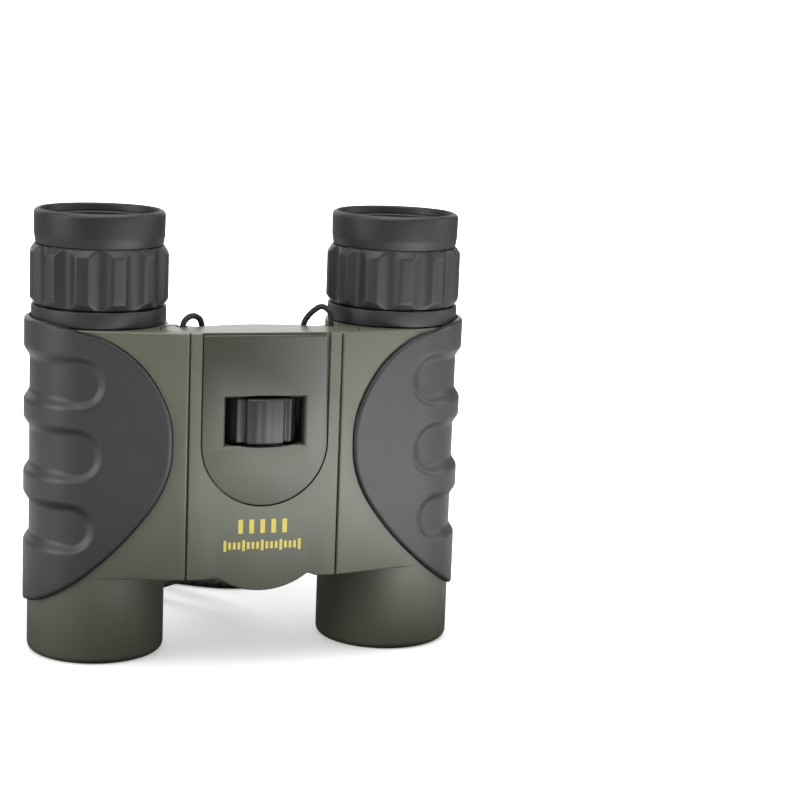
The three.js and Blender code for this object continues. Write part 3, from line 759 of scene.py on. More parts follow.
def smooth_line(points, steps=12):
    """Catmull-Rom points through the given ones, as columns of x and z."""
    points = np.array(points, float)
    ends = np.vstack([2 * points[0] - points[1], points, 2 * points[-1] - points[-2]])
    share = np.linspace(0, 1, steps, endpoint=False)[:, None]
    spans = []
    for a, b, c, d in zip(ends, ends[1:], ends[2:], ends[3:]):
        slope, bend = (c - a) / 2, a - 2.5 * b + 2 * c - d / 2
        twist = (d - a) / 2 + 1.5 * (b - c)
        spans.append(b + slope * share + bend * share**2 + twist * share**3)
    return np.vstack([*spans, points[-1:]])


GRIP_LINE = smooth_line(GRIP_EDGE)[::-1].T  # x and z, upwards


def on_section(t, offset):
    """Point t mm along the outline from the seam (web line first, then the tube), pushed outwards."""
    normal = np.array([math.cos(TANGENT), math.sin(TANGENT)])
    touch = BARREL_R * normal
    if t < LINE_LENGTH:
        way = np.array([-normal[1], normal[0]])
        return touch + way * (t - LINE_LENGTH) + normal * offset
    angle = TANGENT + (t - LINE_LENGTH) / BARREL_R
    return (BARREL_R + offset) * np.array([math.cos(angle), math.sin(angle)])


def along_of_x(x):
    """Outline distance of the front surface at local x."""
    touch_x = BARREL_R * math.cos(TANGENT)
    if x < touch_x:
        return LINE_LENGTH - (touch_x - x) / -math.sin(TANGENT)
    return LINE_LENGTH + (-math.acos(min(1, x / BARREL_R)) - TANGENT) * BARREL_R


def along_of_angle(angle):
    return LINE_LENGTH + (angle - TANGENT) * BARREL_R


def grip_front_x(z):
    """Local x of the grip's front edge at height z."""
    x, heights = GRIP_LINE
    return float(np.interp(z, heights, x))


def grip_edges(z):
    """Outline distances of the grip's front and back edges at height z."""
    x = grip_front_x(z)
    angle = min(math.acos(np.clip(x / BARREL_R, -1, 1)), GRIP_BACK_ANGLE)
    return along_of_x(x), along_of_angle(angle)


def hollow_depth(t, z, hollow):
    """0 outside to 1 inside a hollow: steep at its round inner end, gentler at the barrel's side."""
    middle, half, inner = hollow
    start, end = along_of_x(inner), along_of_angle(math.radians(HOLLOW_END_ANGLE))
    corner = half - 0.3
    dt = np.abs(t - (start + end) / 2) - (end - start) / 2 + corner
    dz = np.abs(z - middle) - half + corner
    outside = np.hypot(np.maximum(dt, 0), np.maximum(dz, 0))
    within = corner - outside - np.minimum(np.maximum(dt, dz), 0)
    wall = 2.4 + 0.4 * smooth((t - start - 6) / 10)
    return smooth(within / wall)


def smooth(value):
    value = np.clip(value, 0, 1)
    return value * value * (3 - 2 * value)


def grip_grid(margin=0.0, rows=150, columns=130):
    """(t, z) of a grid over the grip's face, with close lines along its edges."""
    edge = np.array([0, 0.06, 0.16, 0.3, 0.5, 0.75, 1.05])
    heights = GRIP_TOP - edge
    low = GRIP_FOOT - margin + 0.02
    heights = np.concatenate([np.linspace(low, heights[-1] - 0.4, rows), heights[::-1]])
    lines = []
    for z in heights:
        inner_z = max(z, GRIP_FOOT + 0.02)
        front, back = grip_edges(min(inner_z, GRIP_TOP))
        front -= margin * 1.25
        back += margin * 1.25
        width = back - front
        near = np.minimum(edge * 1.4, width * 0.3 * np.arange(len(edge)) / len(edge))
        middle = np.linspace(near[-1] + 0.3, width - near[-1] - 0.3, columns)
        if width < 6:
            across = np.linspace(0, width, columns + 2 * len(near))
        else:
            across = np.concatenate([near, middle, (width - near)[::-1]])
        lines.append(front + across)
    return np.array(lines), heights


def edge_line():
    """The grip's outline in (t, z), for measuring distances to it."""
    heights = np.concatenate(
        [np.linspace(GRIP_FOOT + 0.01, GRIP_FOOT + 1, 40), np.linspace(GRIP_FOOT + 1, GRIP_TOP, 300)]
    )
    edges = np.array([grip_edges(z) for z in heights])
    fronts = np.column_stack([edges[:, 0], heights])
    backs = np.column_stack([edges[:, 1], heights])
    return np.vstack([fronts, backs])


def grip_offsets(across, heights):
    """How far the rubber stands out at each grid point: rounded edges and finger hollows."""
    z = np.repeat(heights[:, None], across.shape[1], 1)
    line = edge_line()
    gap = np.full(across.shape, np.inf)
    for t0, z0 in line:
        gap = np.minimum(gap, np.hypot(across - t0, z - z0))
    gap = np.minimum(gap, GRIP_TOP - z)
    inner = np.clip(GRIP_ROUND - gap, 0, GRIP_ROUND)
    offset = GRIP_PROUD - GRIP_ROUND + np.sqrt(np.maximum(0, GRIP_ROUND**2 - inner**2))
    for hollow in HOLLOWS:
        offset -= HOLLOW_DEPTH * hollow_depth(across, z, hollow) * smooth(gap / 1.5)
    return offset


def shell_mesh(across, heights, outer, inner):
    """Closed skin between two offsets over the same grid."""
    rows, columns = across.shape
    vertices = []
    for offsets in (outer, inner):
        for i in range(rows):
            for j in range(columns):
                x, y = on_section(across[i, j], offsets[i, j])
                vertices.append((x, y, heights[i]))
    size = rows * columns
    faces = grid_faces(rows, columns, wrap_columns=False)
    faces += [tuple(size + k for k in reversed(face)) for face in faces]
    border = [j for j in range(columns)]
    border += [i * columns + columns - 1 for i in range(1, rows)]
    border += [(rows - 1) * columns + j for j in range(columns - 2, -1, -1)]
    border += [i * columns for i in range(rows - 2, 0, -1)]
    for a, b in zip(border, border[1:] + border[:1]):
        faces.append((a, size + a, size + b, b))
    return np.array(vertices), faces


def grip_tool(side):
    across, heights = grip_grid(0.22, 60, 40)
    heights = heights.copy()
    heights[-1] += 3
    outer, inner = (np.full(across.shape, offset) for offset in (3.0, -0.75))
    return tool(shell_mesh(across, heights, outer, inner), side, ON_AXIS)


def grip(side, name, looks):
    across, heights = grip_grid()
    outer = grip_offsets(across, heights)
    inner = np.full(across.shape, -0.6)
    collar_room = smooth((heights - BODY_TOP + 0.6) / 0.6)[:, None]
    inner = inner + (0.3 - inner) * collar_room * 0.55
    mesh = shell_mesh(across, heights, outer, inner)
    obj = solid(f"{name}_rubber_grip", mesh, looks["grip"], side, ON_AXIS, 50)
    return finish_piece(obj, f"{name}_barrel", "grip_rubber", f"{name}_grip")


# ---------------------------------------------------------------- eyepieces
FLUTES = 12
FLUTE_SHARE = 0.62  # of the pitch that a flute takes
FLUTE_DEPTH = 1.25
FLUTE_AT = {"right": -90 - 20.0, "left": -90 + 7.8}  # degrees, where one flute faces the camera


def soft_min(a, b, softness):
    """The lesser of two lengths, with the corner between them rounded."""
    share = np.clip(0.5 + 0.5 * (b - a) / softness, 0, 1)
    return float(b + (a - b) * share - softness * share * (1 - share))


def flute_radius(phase):
    """Radius of the fluted ring: lobes out to the profile, with round-edged flutes between."""
    pitch = math.tau / FLUTES

    def radius_of(angle, r, z):
        if r < RING_R - FLUTE_DEPTH + 0.02:
            return r
        turn = ((angle - phase) / pitch + 0.5) % 1.0 - 0.5
        inside = abs(turn) / (FLUTE_SHARE / 2)
        flute = RING_R - FLUTE_DEPTH * (1 - inside**2)
        return max(RING_R - FLUTE_DEPTH - 0.1, soft_min(r, flute, 0.35))

    return radius_of


def finely(profile, step):
    """The same profile with no stretch longer than a step."""
    out = []
    for a, b in zip(profile, profile[1:]):
        parts = max(1, math.ceil(math.dist(a, b) / step))
        out += [
            (a[0] + (b[0] - a[0]) * i / parts, a[1] + (b[1] - a[1]) * i / parts)
            for i in range(parts)
        ]
    return [*out, profile[-1]]


def eyecup_ring(side, name, looks):
    low, high = RING_LOW, RING_HIGH
    profile = rounded(
        [
            (14.5, low, 0),
            (RING_R - 1.1, low, 0.2),
            (RING_R, low + 1.5, 1.0),
            (RING_R, high - 1.6, 1.1),
            (RING_R - 1.15, high, 0.25),
            (14.5, high, 0),
        ]
    )
    mesh = turned(finely(profile, 0.5), FLUTES * 26, flute_radius(math.radians(FLUTE_AT[name])))
    obj = solid(f"{name}_fluted_ring", mesh, looks["ring"], side, ON_AXIS)
    return finish_piece(obj, f"{name}_eyecup", "ring_black", f"{name}_eyecup_ring")


def rubber_eyecup(side, name, looks):
    low, top = RING_HIGH + 0.15, EYECUP_TOP
    profile = rounded(
        [
            (13.4, low, 0.1),
            (14.6, low, 0.3),
            (14.95, low + 2.2, 2.0),
            (15.05, top, 1.15),
            (13.7, top, 0.5),
            (13.4, top - 1.6, 0.6),
        ],
        6,
    )
    obj = solid(f"{name}_soft_eyecup", turned(profile, 128), looks["eyecup"], side, ON_AXIS)
    lining = rounded(
        [(13.0, low, 0.1), (13.38, low, 0), (13.38, top - 1.9, 0), (13.0, top - 2.2, 0.1)], 3
    )
    round_piece(
        f"{name}_eyecup_lining", lining, side, looks["black"], f"{name}_eyecup", "optics_black"
    )
    return finish_piece(obj, f"{name}_eyecup", "eyecup_rubber", f"{name}_rubber_eyecup")


def round_piece(name, profile, side, look, body, slot, *nodes, segments=112, about=ON_AXIS):
    obj = solid(name, turned(profile, segments), look, side, about)
    return finish_piece(obj, body, slot, *nodes)


def lens_piece(name, profile, side, look, body, slot, *nodes):
    return finish_piece(solid(name, lens(profile), look, side, ON_AXIS, 40), body, slot, *nodes)


def dome(r, edge_z, middle_z, steps=10):
    """(radius, height) points of a shallow dome from its middle out to its edge."""
    rise = edge_z - middle_z
    return [(r * k / steps, middle_z + rise * (k / steps) ** 2) for k in range(steps + 1)]


def eyepiece(side, name, looks):
    eyecup_ring(side, name, looks)
    rubber_eyecup(side, name, looks)
    low = BODY_TOP + GAP
    collar = band(BORE_R, 15.5, low, 82.0, (0, 0.15, 0.3, 0.15), 4)
    sleeve = band(BORE_R, SLEEVE_R, 82.6, 95.6, (0.1, 0.2, 0.2, 0.1))
    tube = band(11.5, TUBE_R, 68, 94, (0.2, 0.2, 0.3, 0.2))
    bezel = [(8.6, 84, 0.1), (11.2, 84, 0.1), (11.2, 95, 0.4), (10.2, 95, 0.3)]
    bezel += [(9.6, 93.6, 0.1), (9.5, 93.6, 0.1), (8.9, 92.2, 0.1), (8.6, 92.2, 0.1)]
    barrel = f"{name}_barrel"
    dioptre, ocular = (f"{name}_dioptre", f"{name}_ocular") if side > 0 else (barrel, barrel)
    collar_node = "right_dioptre_ring" if side > 0 else "left_eyepiece_collar"
    for part, profile, look, body, slot, node in (
        ("collar", collar, "collar", dioptre, "collar_black", collar_node),
        ("guide_sleeve", sleeve, "black", f"{name}_eyecup_guide", "optics_black", f"{name}_eyecup_sleeve"),
        ("eye_tube", tube, "black", barrel, "optics_black", f"{name}_eyepiece_tube"),
        ("ocular_bezel", rounded(bezel, 3), "black", ocular, "optics_black", f"{name}_ocular_cell"),
    ):
        round_piece(f"{name}_{part}", profile, side, looks[look], body, slot, node)
    eye = [(0, 86), (8.3, 86.2), (8.3, 90.4)] + dome(8.1, 90.5, 91.9)[::-1]
    lens_piece(
        f"{name}_eye_glass", eye, side, looks["ocular"], ocular, "lens_glass", f"{name}_eye_lens"
    )


# ---------------------------------------------------------------- objective ends
def objective(side, name, looks):
    barrel = f"{name}_barrel"
    ring = [(11.8, 5.6, 0.1), (11.8, 4.6, 0.1), (12.1, 4.6, 0.05), (12.1, 3.9, 0.05)]
    ring += [(12.4, 3.9, 0.05), (12.4, 3.1, 0.05), (12.75, 2.2, 0.1), (13.1, 2.2, 0.1), (13.1, 5.6, 0.1)]
    profile = rounded(ring, 3)
    round_piece(
        f"{name}_baffle_ring", profile, side, looks["black"], barrel,
        "optics_black", f"{name}_objective_retainer",
    )
    glass_profile = dome(13.0, 7.6, 6.05) + [(13.0, 10.6)] + dome(12.9, 10.6, 10.1)[::-1]
    lens_piece(
        f"{name}_front_glass", glass_profile, side, looks["objective"], barrel,
        "lens_glass", f"{name}_objective_lens",
    )


# ---------------------------------------------------------------- bridge
BACK_MIDDLE = -6.2 + SHIFT_Y
BACK_CURVE_R = 30.5
BULGE_Z, BULGE_R = 35.5, 17.9


def back_of_bridge(x, inset=0.0):
    r = BACK_CURVE_R - inset
    return BACK_MIDDLE - BACK_CURVE_R + math.sqrt(r * r - x * x)


def foot_of_bridge(x):
    """Lower edge of the bridge: flat by the seams, a small notch, and a round bulge between."""
    x = abs(x)
    notch, flat = 10.9, 13.5
    if x <= notch:
        return BULGE_Z - math.sqrt(BULGE_R**2 - x * x)
    top = BULGE_Z - math.sqrt(BULGE_R**2 - notch**2)
    if x < flat:
        return top + (BODY_BOTTOM - top) * smooth((x - notch) / (flat - notch))
    return BODY_BOTTOM


def bridge_ring(x, inset):
    """Rounded box in Y and Z at one x; inset shrinks it all round."""
    front = FRONT_Y + inset
    back = (back_of_bridge(x) if abs(x) < 13.95 else back_of_bridge(13.95)) - inset
    low, high = foot_of_bridge(x) + inset, BODY_TOP - inset
    r = max(0.4 - inset, 0.02)
    outline = rounded([(front, low, r), (front, high, r), (back, high, r), (back, low, r)], 4)
    return [(x, y, z) for y, z in outline]


def bridge_block():
    columns = np.concatenate([np.linspace(-13.9, -10.9, 7), np.linspace(-10.5, 10.5, 61)])
    columns = np.concatenate([columns, np.linspace(10.9, 13.9, 7)])
    return loft_across(bridge_ring, SEAM_X, columns, fillet_steps(0.35))


def cover_outline(half, top):
    return [(half, top), (-half, top)] + arc(0, COVER_BEND_Z, half, 180, 360, 64)


def window_tool():
    """The wheel's window through the front, with a narrow bevel round its outer edge."""
    low, high = WINDOW_Z
    rings = []
    for y, wider in ((FRONT_Y - 3, 3.4), (FRONT_Y + 0.4, 0), (FRONT_Y + 8, 0)):
        x, z0, z1 = WINDOW_X + wider, low - wider, high + wider
        rings.append([(-x, y, z0), (x, y, z0), (x, y, z1), (-x, y, z1)])
    return tool(loft(rings))


def relief_tool():
    """Shallow crescents over and under the window, cut by a coned drum about the wheel's axis."""
    low, high = WINDOW_Z
    at_plate = FRONT_Y - WHEEL[1]
    wide, narrow = math.hypot(at_plate, 6.0), math.hypot(at_plate, 2.0)
    rise = 0.42
    profile = [(0, low - rise), (narrow, low - rise), (wide, low), (wide, high)]
    profile += [(narrow, high + rise), (0, high + rise)]
    return tool(lens(profile, 128), 1, (0, WHEEL[1], 0))


def ear(low, high, side):
    """Round hinge ear of the bridge, above or below the barrel's knuckles."""
    edge = 0.4
    outline = band(0, KNUCKLE_R, low, high, (0, edge, edge, 0), 5)
    return tool(lens(outline, 80), side, ON_HINGE)


def hinge_drum(r, low, high, side):
    return tool(cylinder_mesh(r, low, high, 80), side, ON_HINGE)


def hinge_screen(side):
    """Thin curved wall that closes the middle of the hinge at the back of the bridge."""
    outer = arc(0, 0, KNUCKLE_R, 106, 190, 14)
    inner = arc(0, 0, KNUCKLE_R - 1.2, 190, 106, 14)
    tip = [((outer[0][0] + inner[-1][0]) / 2 + 0.3, (outer[0][1] + inner[-1][1]) / 2)]
    return tool(prism_mesh(outer + inner + tip, *OPEN_HINGE), side, ON_HINGE)


def seam_screen(side):
    """Thin curved strip behind the front seam, joined to the bridge's end of it."""
    strip = arc(0, 0, KNUCKLE_R, -112, -72, 10) + arc(0, 0, KNUCKLE_R - 1.0, -72, -112, 10)
    foot = arc(0, 0, KNUCKLE_R + 0.8, -112, -97, 5) + arc(0, 0, KNUCKLE_R - 0.8, -97, -112, 5)
    return [tool(prism_mesh(outline, *OPEN_HINGE), side, ON_HINGE) for outline in (strip, foot)]


def screen_foot(side):
    """Joins the hinge screen to the bridge's side wall."""
    x = (-KNUCKLE_R - 0.6, -KNUCKLE_R + 1.0)
    return tool(box_mesh(x, (0, 1.5), OPEN_HINGE), side, ON_HINGE)


def print_marks(looks):
    """Generic gold scale: five bold ticks over a row of finer ones, as thin printed bars."""
    bars = [(x, 33.0, 0.55, 1.65) for x in np.linspace(-5.2, 5.2, 5)]
    for i, x in enumerate(np.linspace(-8.8, 8.8, 17)):
        bars.append((x, 28.5, 0.32, 1.3 if i % 4 == 0 else 0.85))
    vertices, faces = [], []
    face_y = FRONT_Y - 0.02
    for x, z, half_x, half_z in bars:
        outline = rounded(
            [(x - half_x, z - half_z, 0.12), (x + half_x, z - half_z, 0.12),
             (x + half_x, z + half_z, 0.12), (x - half_x, z + half_z, 0.12)], 3)
        bar, quads = slab_mesh(outline, face_y, FRONT_Y + 0.1)
        faces += [tuple(k + len(vertices) for k in face) for face in quads]
        vertices += bar.tolist()
    return new_object("marks", vertices, faces, looks["gold"])


def join_into(whole, part):
    """Adds part's mesh, with its material, to whole's mesh."""
    with bpy.context.temp_override(
        active_object=whole, object=whole,
        selected_objects=[whole, part], selected_editable_objects=[whole, part],
    ):
        bpy.ops.object.join()


def bridge(looks):
    housing = new_object("bridge_body", *bridge_block(), looks["olive"])
    low, high = LOW_KNUCKLE[0] - GAP, HIGH_KNUCKLE[1] + GAP
    ears = [ear(BODY_BOTTOM, low, s) for s, _ in SIDES] + [ear(high, BODY_TOP, s) for s, _ in SIDES]
    carve(housing, ears, "UNION")
    voids = [hinge_drum(KNUCKLE_R + GAP, low, high, side) for side, _ in SIDES]
    pin_bores = [hinge_drum(PIN_R + GAP, *PIN_BORE, side) for side, _ in SIDES]
    cavity = tool(box_mesh((-10.6, 10.6), (-17.3 + SHIFT_Y, 5), (31, 70.5)))
    pocket = tool(slab_mesh(cover_outline(COVER_HALF + 0.28, 90), FRONT_Y - 1, FRONT_Y + 1.2))
    back_recess = [(x, back_of_bridge(x, 1.8)) for x in np.linspace(-12, 12, 49)]
    recess = tool(prism_mesh(back_recess + [(12, 5), (-12, 5)], 25.0, 76.0))
    spindle_bore = tool(cylinder_mesh(SPINDLE_BORE_R, 28, 74.5, 48), 1, ON_WHEEL)
    shafts = [
        tool(turn_to_y(cylinder_mesh(1.1, -8, 3, 32), x, back_of_bridge(x), z)) for x, z in SCREWS
    ]
    holes = [eyelet_tool(side) for side, _ in SIDES]
    cuts = voids + pin_bores + [cavity, pocket, recess, spindle_bore] + shafts + holes
    carve(housing, cuts + [window_tool(), relief_tool()])
    screens = [make(side) for side, _ in SIDES for make in (hinge_screen, screen_foot)]
    carve(housing, screens, "UNION")
    carve(housing, [piece for side, _ in SIDES for piece in seam_screen(side)], "UNION")
    slot = tool(box_mesh((-SEAM_X, SEAM_X), (-16.4 + SHIFT_Y, -10.8 + SHIFT_Y), (40, 47.5)))
    carve(housing, [slot])
    join_into(housing, print_marks(looks))
    shade(housing)
    return finish_piece(housing, "bridge", "body_olive", "bridge_housing")


def eyelet_tool(side):
    """The hole in the top ear that the strap's loop goes into, with a flared mouth."""
    r, mouth, foot = 1.05, 0.4, 74.4
    profile = [(0, foot), (r, foot), (r, BODY_TOP - mouth), (r + mouth, BODY_TOP)]
    profile += [(r + mouth, 80), (0, 80)]
    return tool(lens(profile, 32), side, (HINGE[0], HINGE[1] + 4.0, 0))


def plate_with_edges(outline, front, back):
    """Slab whose front edge is rounded: rings shrink towards the front face."""
    points = np.array(outline)
    ahead = outward(np.roll(points, -1, 0) - points)
    behind = outward(points - np.roll(points, 1, 0))
    mitre = (ahead + behind) / (1 + np.sum(ahead * behind, axis=1))[:, None]
    rings = []
    for inset, y in [(inset, front + rise) for inset, rise in fillet_steps(0.25, 3)] + [(0, back)]:
        flat = points - mitre * inset
        rings.append(np.column_stack([flat[:, 0], np.full(len(flat), y), flat[:, 1]]))
    return loft(rings)


def focus_cover(looks):
    half, top = COVER_HALF, COVER_TOP
    outline = rounded([(half, top, 0.3), (-half, top, 0.3), (-half, COVER_BEND_Z, 0)], 3)
    outline += arc(0, COVER_BEND_Z, half, 180, 360, 64)[1:]
    mesh = plate_with_edges(outline, FRONT_Y + 0.02, FRONT_Y + 0.9)
    cover = new_object("front_cover", *mesh, looks["cover"])
    carve(cover, [window_tool(), relief_tool()])
    return finish_piece(cover, "bridge", "cover_olive", "focus_cover")


def back_cover(looks):
    """Curved plate with rounded edges, a window for the wheel and four sunk screw seats."""
    half, low, high, thick = 11.7, 25.3, 75.7, 1.5
    columns = np.linspace(-half + 0.3, half - 0.3, 48)

    def ring(x, inset):
        back = back_of_bridge(x) - inset
        front = back_of_bridge(x, thick)
        r = max(0.3 - inset, 0.02)
        corners = [(front, low + inset, 0.02), (front, high - inset, 0.02)]
        corners += [(back, high - inset, r), (back, low + inset, r)]
        return [(x, y, z) for y, z in rounded(corners, 3)]

    mesh = loft_across(ring, half, columns[1:-1], fillet_steps(0.3, 3))
    cover = new_object("rear_cover", *mesh, looks["olive"])
    seats = [
        tool(turn_to_y(cylinder_mesh(2.1, -0.55, 3, 40), x, back_of_bridge(x), z)) for x, z in SCREWS
    ]
    wheel_gap = tool(box_mesh((-8.9, 8.9), (-12, 5), WINDOW_Z))
    carve(cover, [wheel_gap] + seats)
    return finish_piece(cover, "bridge", "body_olive", "bridge_back_cover")


SCREWS = [(x, z) for x in (-7, 7) for z in (28.2, 73.1)]


def turn_to_y(mesh, x, y, z):
    """Local Z becomes +Y, so a part turned about Z faces backwards."""
    vertices, faces = np.asarray(mesh[0]), mesh[1]
    return vertices[:, [0, 2, 1]] + np.array([x, y, z]), facing(faces, -1)


def screws(looks):
    profile = [(0, -3), (0.8, -3), (0.8, -0.5), (1.75, -0.5)]
    profile += [(1.72, -0.2), (1.3, 0.1), (0.6, 0.22), (0, 0.25)]
    for i, (x, z) in enumerate(SCREWS, 1):
        y = back_of_bridge(x)
        mesh = turn_to_y(lens(profile, 40), x, y, z)
        screw = new_object(f"cover_screw_{i}", *mesh, looks["steel"], 30)
        cross = [
            tool(box_mesh((x - w, x + w), (y - 0.35, 9), (z - h, z + h)))
            for w, h in ((0.22, 0.95), (0.95, 0.22))
        ]
        carve(screw, cross, sharp=30)
        finish_piece(screw, "bridge", "steel", f"back_cover_screw_{i}")


# ---------------------------------------------------------------- focus wheel
def wheel_radius(angle, r, z):
    """Five broad, slightly flattened lobes between deep grooves, each lobe softly fluted."""
    if r < 8.0:
        return r
    lobes, flutes = 5, 5
    turn = ((angle + math.pi / 2) / (math.tau / lobes) + 0.5) % 1.0 - 0.5
    from_groove = (0.5 - abs(turn)) * math.tau / lobes * WHEEL_R
    lobe = float(smooth((from_groove - 0.3) / 1.2))
    flat = 0.45 * (1 - (2 * turn) ** 2)
    flute = 0.5 + 0.5 * math.cos(turn * flutes * math.tau)
    return r - 1.2 * (1 - lobe) - flat * lobe - 0.08 * (1 - flute) * lobe


def wheel(looks):
    low, high = WHEEL_LOW, WHEEL_HIGH
    tyre = band(7.0, WHEEL_R, low, high, (0, 0.5, 0.5, 0), 5)
    obj = solid("ribbed_wheel", turned(tyre, 480, wheel_radius), looks["wheel"], 1, ON_WHEEL, 60)
    finish_piece(obj, "focus_wheel", "wheel_black", "focus_wheel_tyre")
    hub = band(SPINDLE_BORE_R, 6.7, low, high, (0.2, 0.2, 0.2, 0.2))
    round_piece(
        "wheel_core", hub, 1, looks["black"], "focus_wheel", "wheel_black", "focus_wheel_hub",
        segments=64, about=ON_WHEEL,
    )


# ---------------------------------------------------------------- strap
def curve_through(points):
    """Catmull-Rom points through the given ones (centripetal, as the solids use)."""
    steps = 8  # in each span
    points = [Vector(p) for p in points]
    ends = [2 * points[0] - points[1]] + points + [2 * points[-1] - points[-2]]
    out = []
    for a, b, c, d in zip(ends, ends[1:], ends[2:], ends[3:]):
        t0, t1 = 0.0, math.sqrt((b - a).length)
        t2 = t1 + math.sqrt((c - b).length)
        t3 = t2 + math.sqrt((d - c).length)
        for k in range(steps):
            t = t1 + (t2 - t1) * k / steps
            ab = a.lerp(b, (t - t0) / (t1 - t0))
            bc = b.lerp(c, (t - t1) / (t2 - t1))
            cd = c.lerp(d, (t - t2) / (t3 - t2))
            abc = ab.lerp(bc, (t - t0) / (t2 - t0))
            bcd = bc.lerp(cd, (t - t1) / (t3 - t1))
            out.append(abc.lerp(bcd, (t - t1) / (t2 - t1)))
    out.append(points[-1])
    return out


def cord_piece(name, points, r, material):
    """A round cord as a curve; points in mm in the barrels' frame."""
    data = bpy.data.curves.new(name, "CURVE")
    data.dimensions = "3D"
    data.bevel_depth = r * MM
    data.bevel_resolution = 4
    data.use_fill_caps = True
    spline = data.splines.new("POLY")
    spline.points.add(len(points) - 1)
    for place, point in zip(spline.points, points):
        place.co = (point[0] * MM, (point[1] + SHIFT_Y) * MM, point[2] * MM, 1)
    data.materials.append(material)
    return new_linked(name, data)


LOOP_ROUTES = {
    "right": [
        (17.7, -9.6, 75.2), (17.7, -9.6, 78.6), (17.3, -9.4, 81.2), (15.6, -8.8, 82.4),
        (13.6, -8.1, 81.2), (12.0, -7.5, 79), (11.2, -7.2, 76), (10.5, -6.9, 71),
        (9.9, -6.6, 65), (9.5, -6.3, 59), (8.9, -5.6, 53.5), (7.9, -4.7, 48.4),
    ],
    "left": [
        (17.7, -9.6, 75.2), (17.7, -9.6, 77), (16.9, -9.1, 79.3), (14.95, -7.9, 80.2),
        (13, -6.7, 79.3), (12.2, -6.2, 77), (11.9, -6, 74.5), (11.4, -6, 71),
        (11, -5.8, 67), (10.3, -5.9, 62.5), (9.3, -5.8, 56), (7.9, -4.7, 48.4),
    ],
}  # both as if on the right
LEFT_RUN = [
    (-5.5, -2.2, 38), (-4.7, -1, 34.6), (-3.8, 2, 29), (-3.1, 7, 23), (-3, 14, 17.8),
    (-4.2, 21, 13.2), (-7, 27.5, 9.2), (-11, 33, 6), (-15.3, 38, 3.4), (-18.3, 44, 1.8),
    (-17.3, 50, 1.5), (-12, 52.2, 1.5), (-6, 49.6, 1.5), (0, 45.8, 1.5), (6, 43.2, 1.5),
    (12, 43, 1.5), (17.3, 46.2, 1.5), (20.9, 52, 1.5), (22.7, 59, 1.5), (23.15, 66.4, 1.5),
]
RIGHT_RUN = [
    (5.5, -2.2, 38), (4.7, -1, 34.6), (3.8, 2, 29), (3.1, 7, 23.2), (2.7, 14, 18),
    (2, 22, 13.4), (0, 30, 9.8), (-4, 38, 7), (-8.4, 45, 5.5), (-12.4, 52, 4.8),
    (-16.4, 59, 4.4), (-19.15, 66.4, 4.45),
]
COIL_X, COIL_Y = 2, 79
CORD_R, LOOP_R = 1.5, 0.7
SLIDER_TOP, SLIDER_FOOT = (7.7, -4.5, 47.6), (5.7, -2.4, 38.6)


def coil_points():
    """Two layers of turns: in on the table, up at the inside, and out again on top."""
    outer, inner = abs(RIGHT_RUN[-1][0] - COIL_X), 10.3
    bottom, top = LEFT_RUN[-1][2], RIGHT_RUN[-1][2]
    turns_in = turns_out = 3.5
    turns_up = 0.5
    steps = 24  # in each turn
    points = []
    for k in range(1, int(steps * (turns_in + turns_up + turns_out))):
        turn = k / steps
        inwards = min(turn / turns_in, 1)
        up = np.clip((turn - turns_in) / turns_up, 0, 1)
        outwards = max(0, (turn - turns_in - turns_up) / turns_out)
        r = outer + (inner - outer) * (inwards - outwards)
        angle = math.tau * turn
        x, y = COIL_X + r * math.cos(angle), COIL_Y + r * math.sin(angle)
        points.append((x, y, bottom + (top - bottom) * smooth(up)))
    return points


def evenly(points, step):
    """The same line with its points a fixed step apart."""
    points = np.array(points, float)
    walked = np.concatenate([[0], np.cumsum(np.linalg.norm(np.diff(points, axis=0), axis=1))])
    places = np.linspace(0, walked[-1], max(2, round(walked[-1] / step)) + 1)
    return np.column_stack([np.interp(places, walked, points[:, i]) for i in range(3)])


def in_row(point):
    """Barrel-frame mm to row-frame metres."""
    return (point[0] * MM, (point[1] + SHIFT_Y) * MM, point[2] * MM)


def strap_slider(side, name, looks):
    """Two-part cord end: a stepped barrel with a grooved waist."""
    length = math.dist(SLIDER_TOP, SLIDER_FOOT)
    outline = [(0, 0, 0), (1.75, 0, 0.3), (2.3, 1.0, 0.4), (2.3, 3.0, 0.2), (2.05, 3.2, 0.1)]
    outline += [(2.05, 3.6, 0.1), (2.3, 3.8, 0.2), (2.3, length - 2.4, 0.5)]
    outline += [(1.35, length, 0.4), (0, length, 0)]
    vertices, faces = lens(rounded(outline, 4), 64)
    way = (Vector(SLIDER_TOP) - Vector(SLIDER_FOOT)).to_track_quat("Z", "Y").to_matrix()
    vertices = vertices @ np.array(way).T
    origin = np.array(SLIDER_FOOT) + (0, SHIFT_Y, 0)
    piece = solid(f"{name}_cord_end", (vertices, faces), looks["slider"], side, origin)
    return finish_piece(piece, "bridge", "slider_black", f"{name}_strap_slider")


def strap(looks):
    for side, name in SIDES:
        strap_slider(side, name, looks)
        route = [(side * x, y, z) for x, y, z in LOOP_ROUTES[name]]
        line = evenly(curve_through(route), 0.4)
        loop = cord_piece(f"{name}_strap_loop", line, LOOP_R, looks["thin_cord"])
        finish_piece(loop, "bridge", "strap_cord", f"{name}_loop_cord")
        in_row(route[0])
    way_in, way_out = curve_through(LEFT_RUN), curve_through(RIGHT_RUN)[::-1]
    line = evenly([*way_in, *coil_points(), *way_out], 1.0)
    cord = cord_piece("braided_neck_cord", line, CORD_R, looks["cord"])
    finish_piece(
        cord, "bridge", "strap_cord", "neck_cord_left_run", "neck_cord_coil", "neck_cord_right_run"
    )


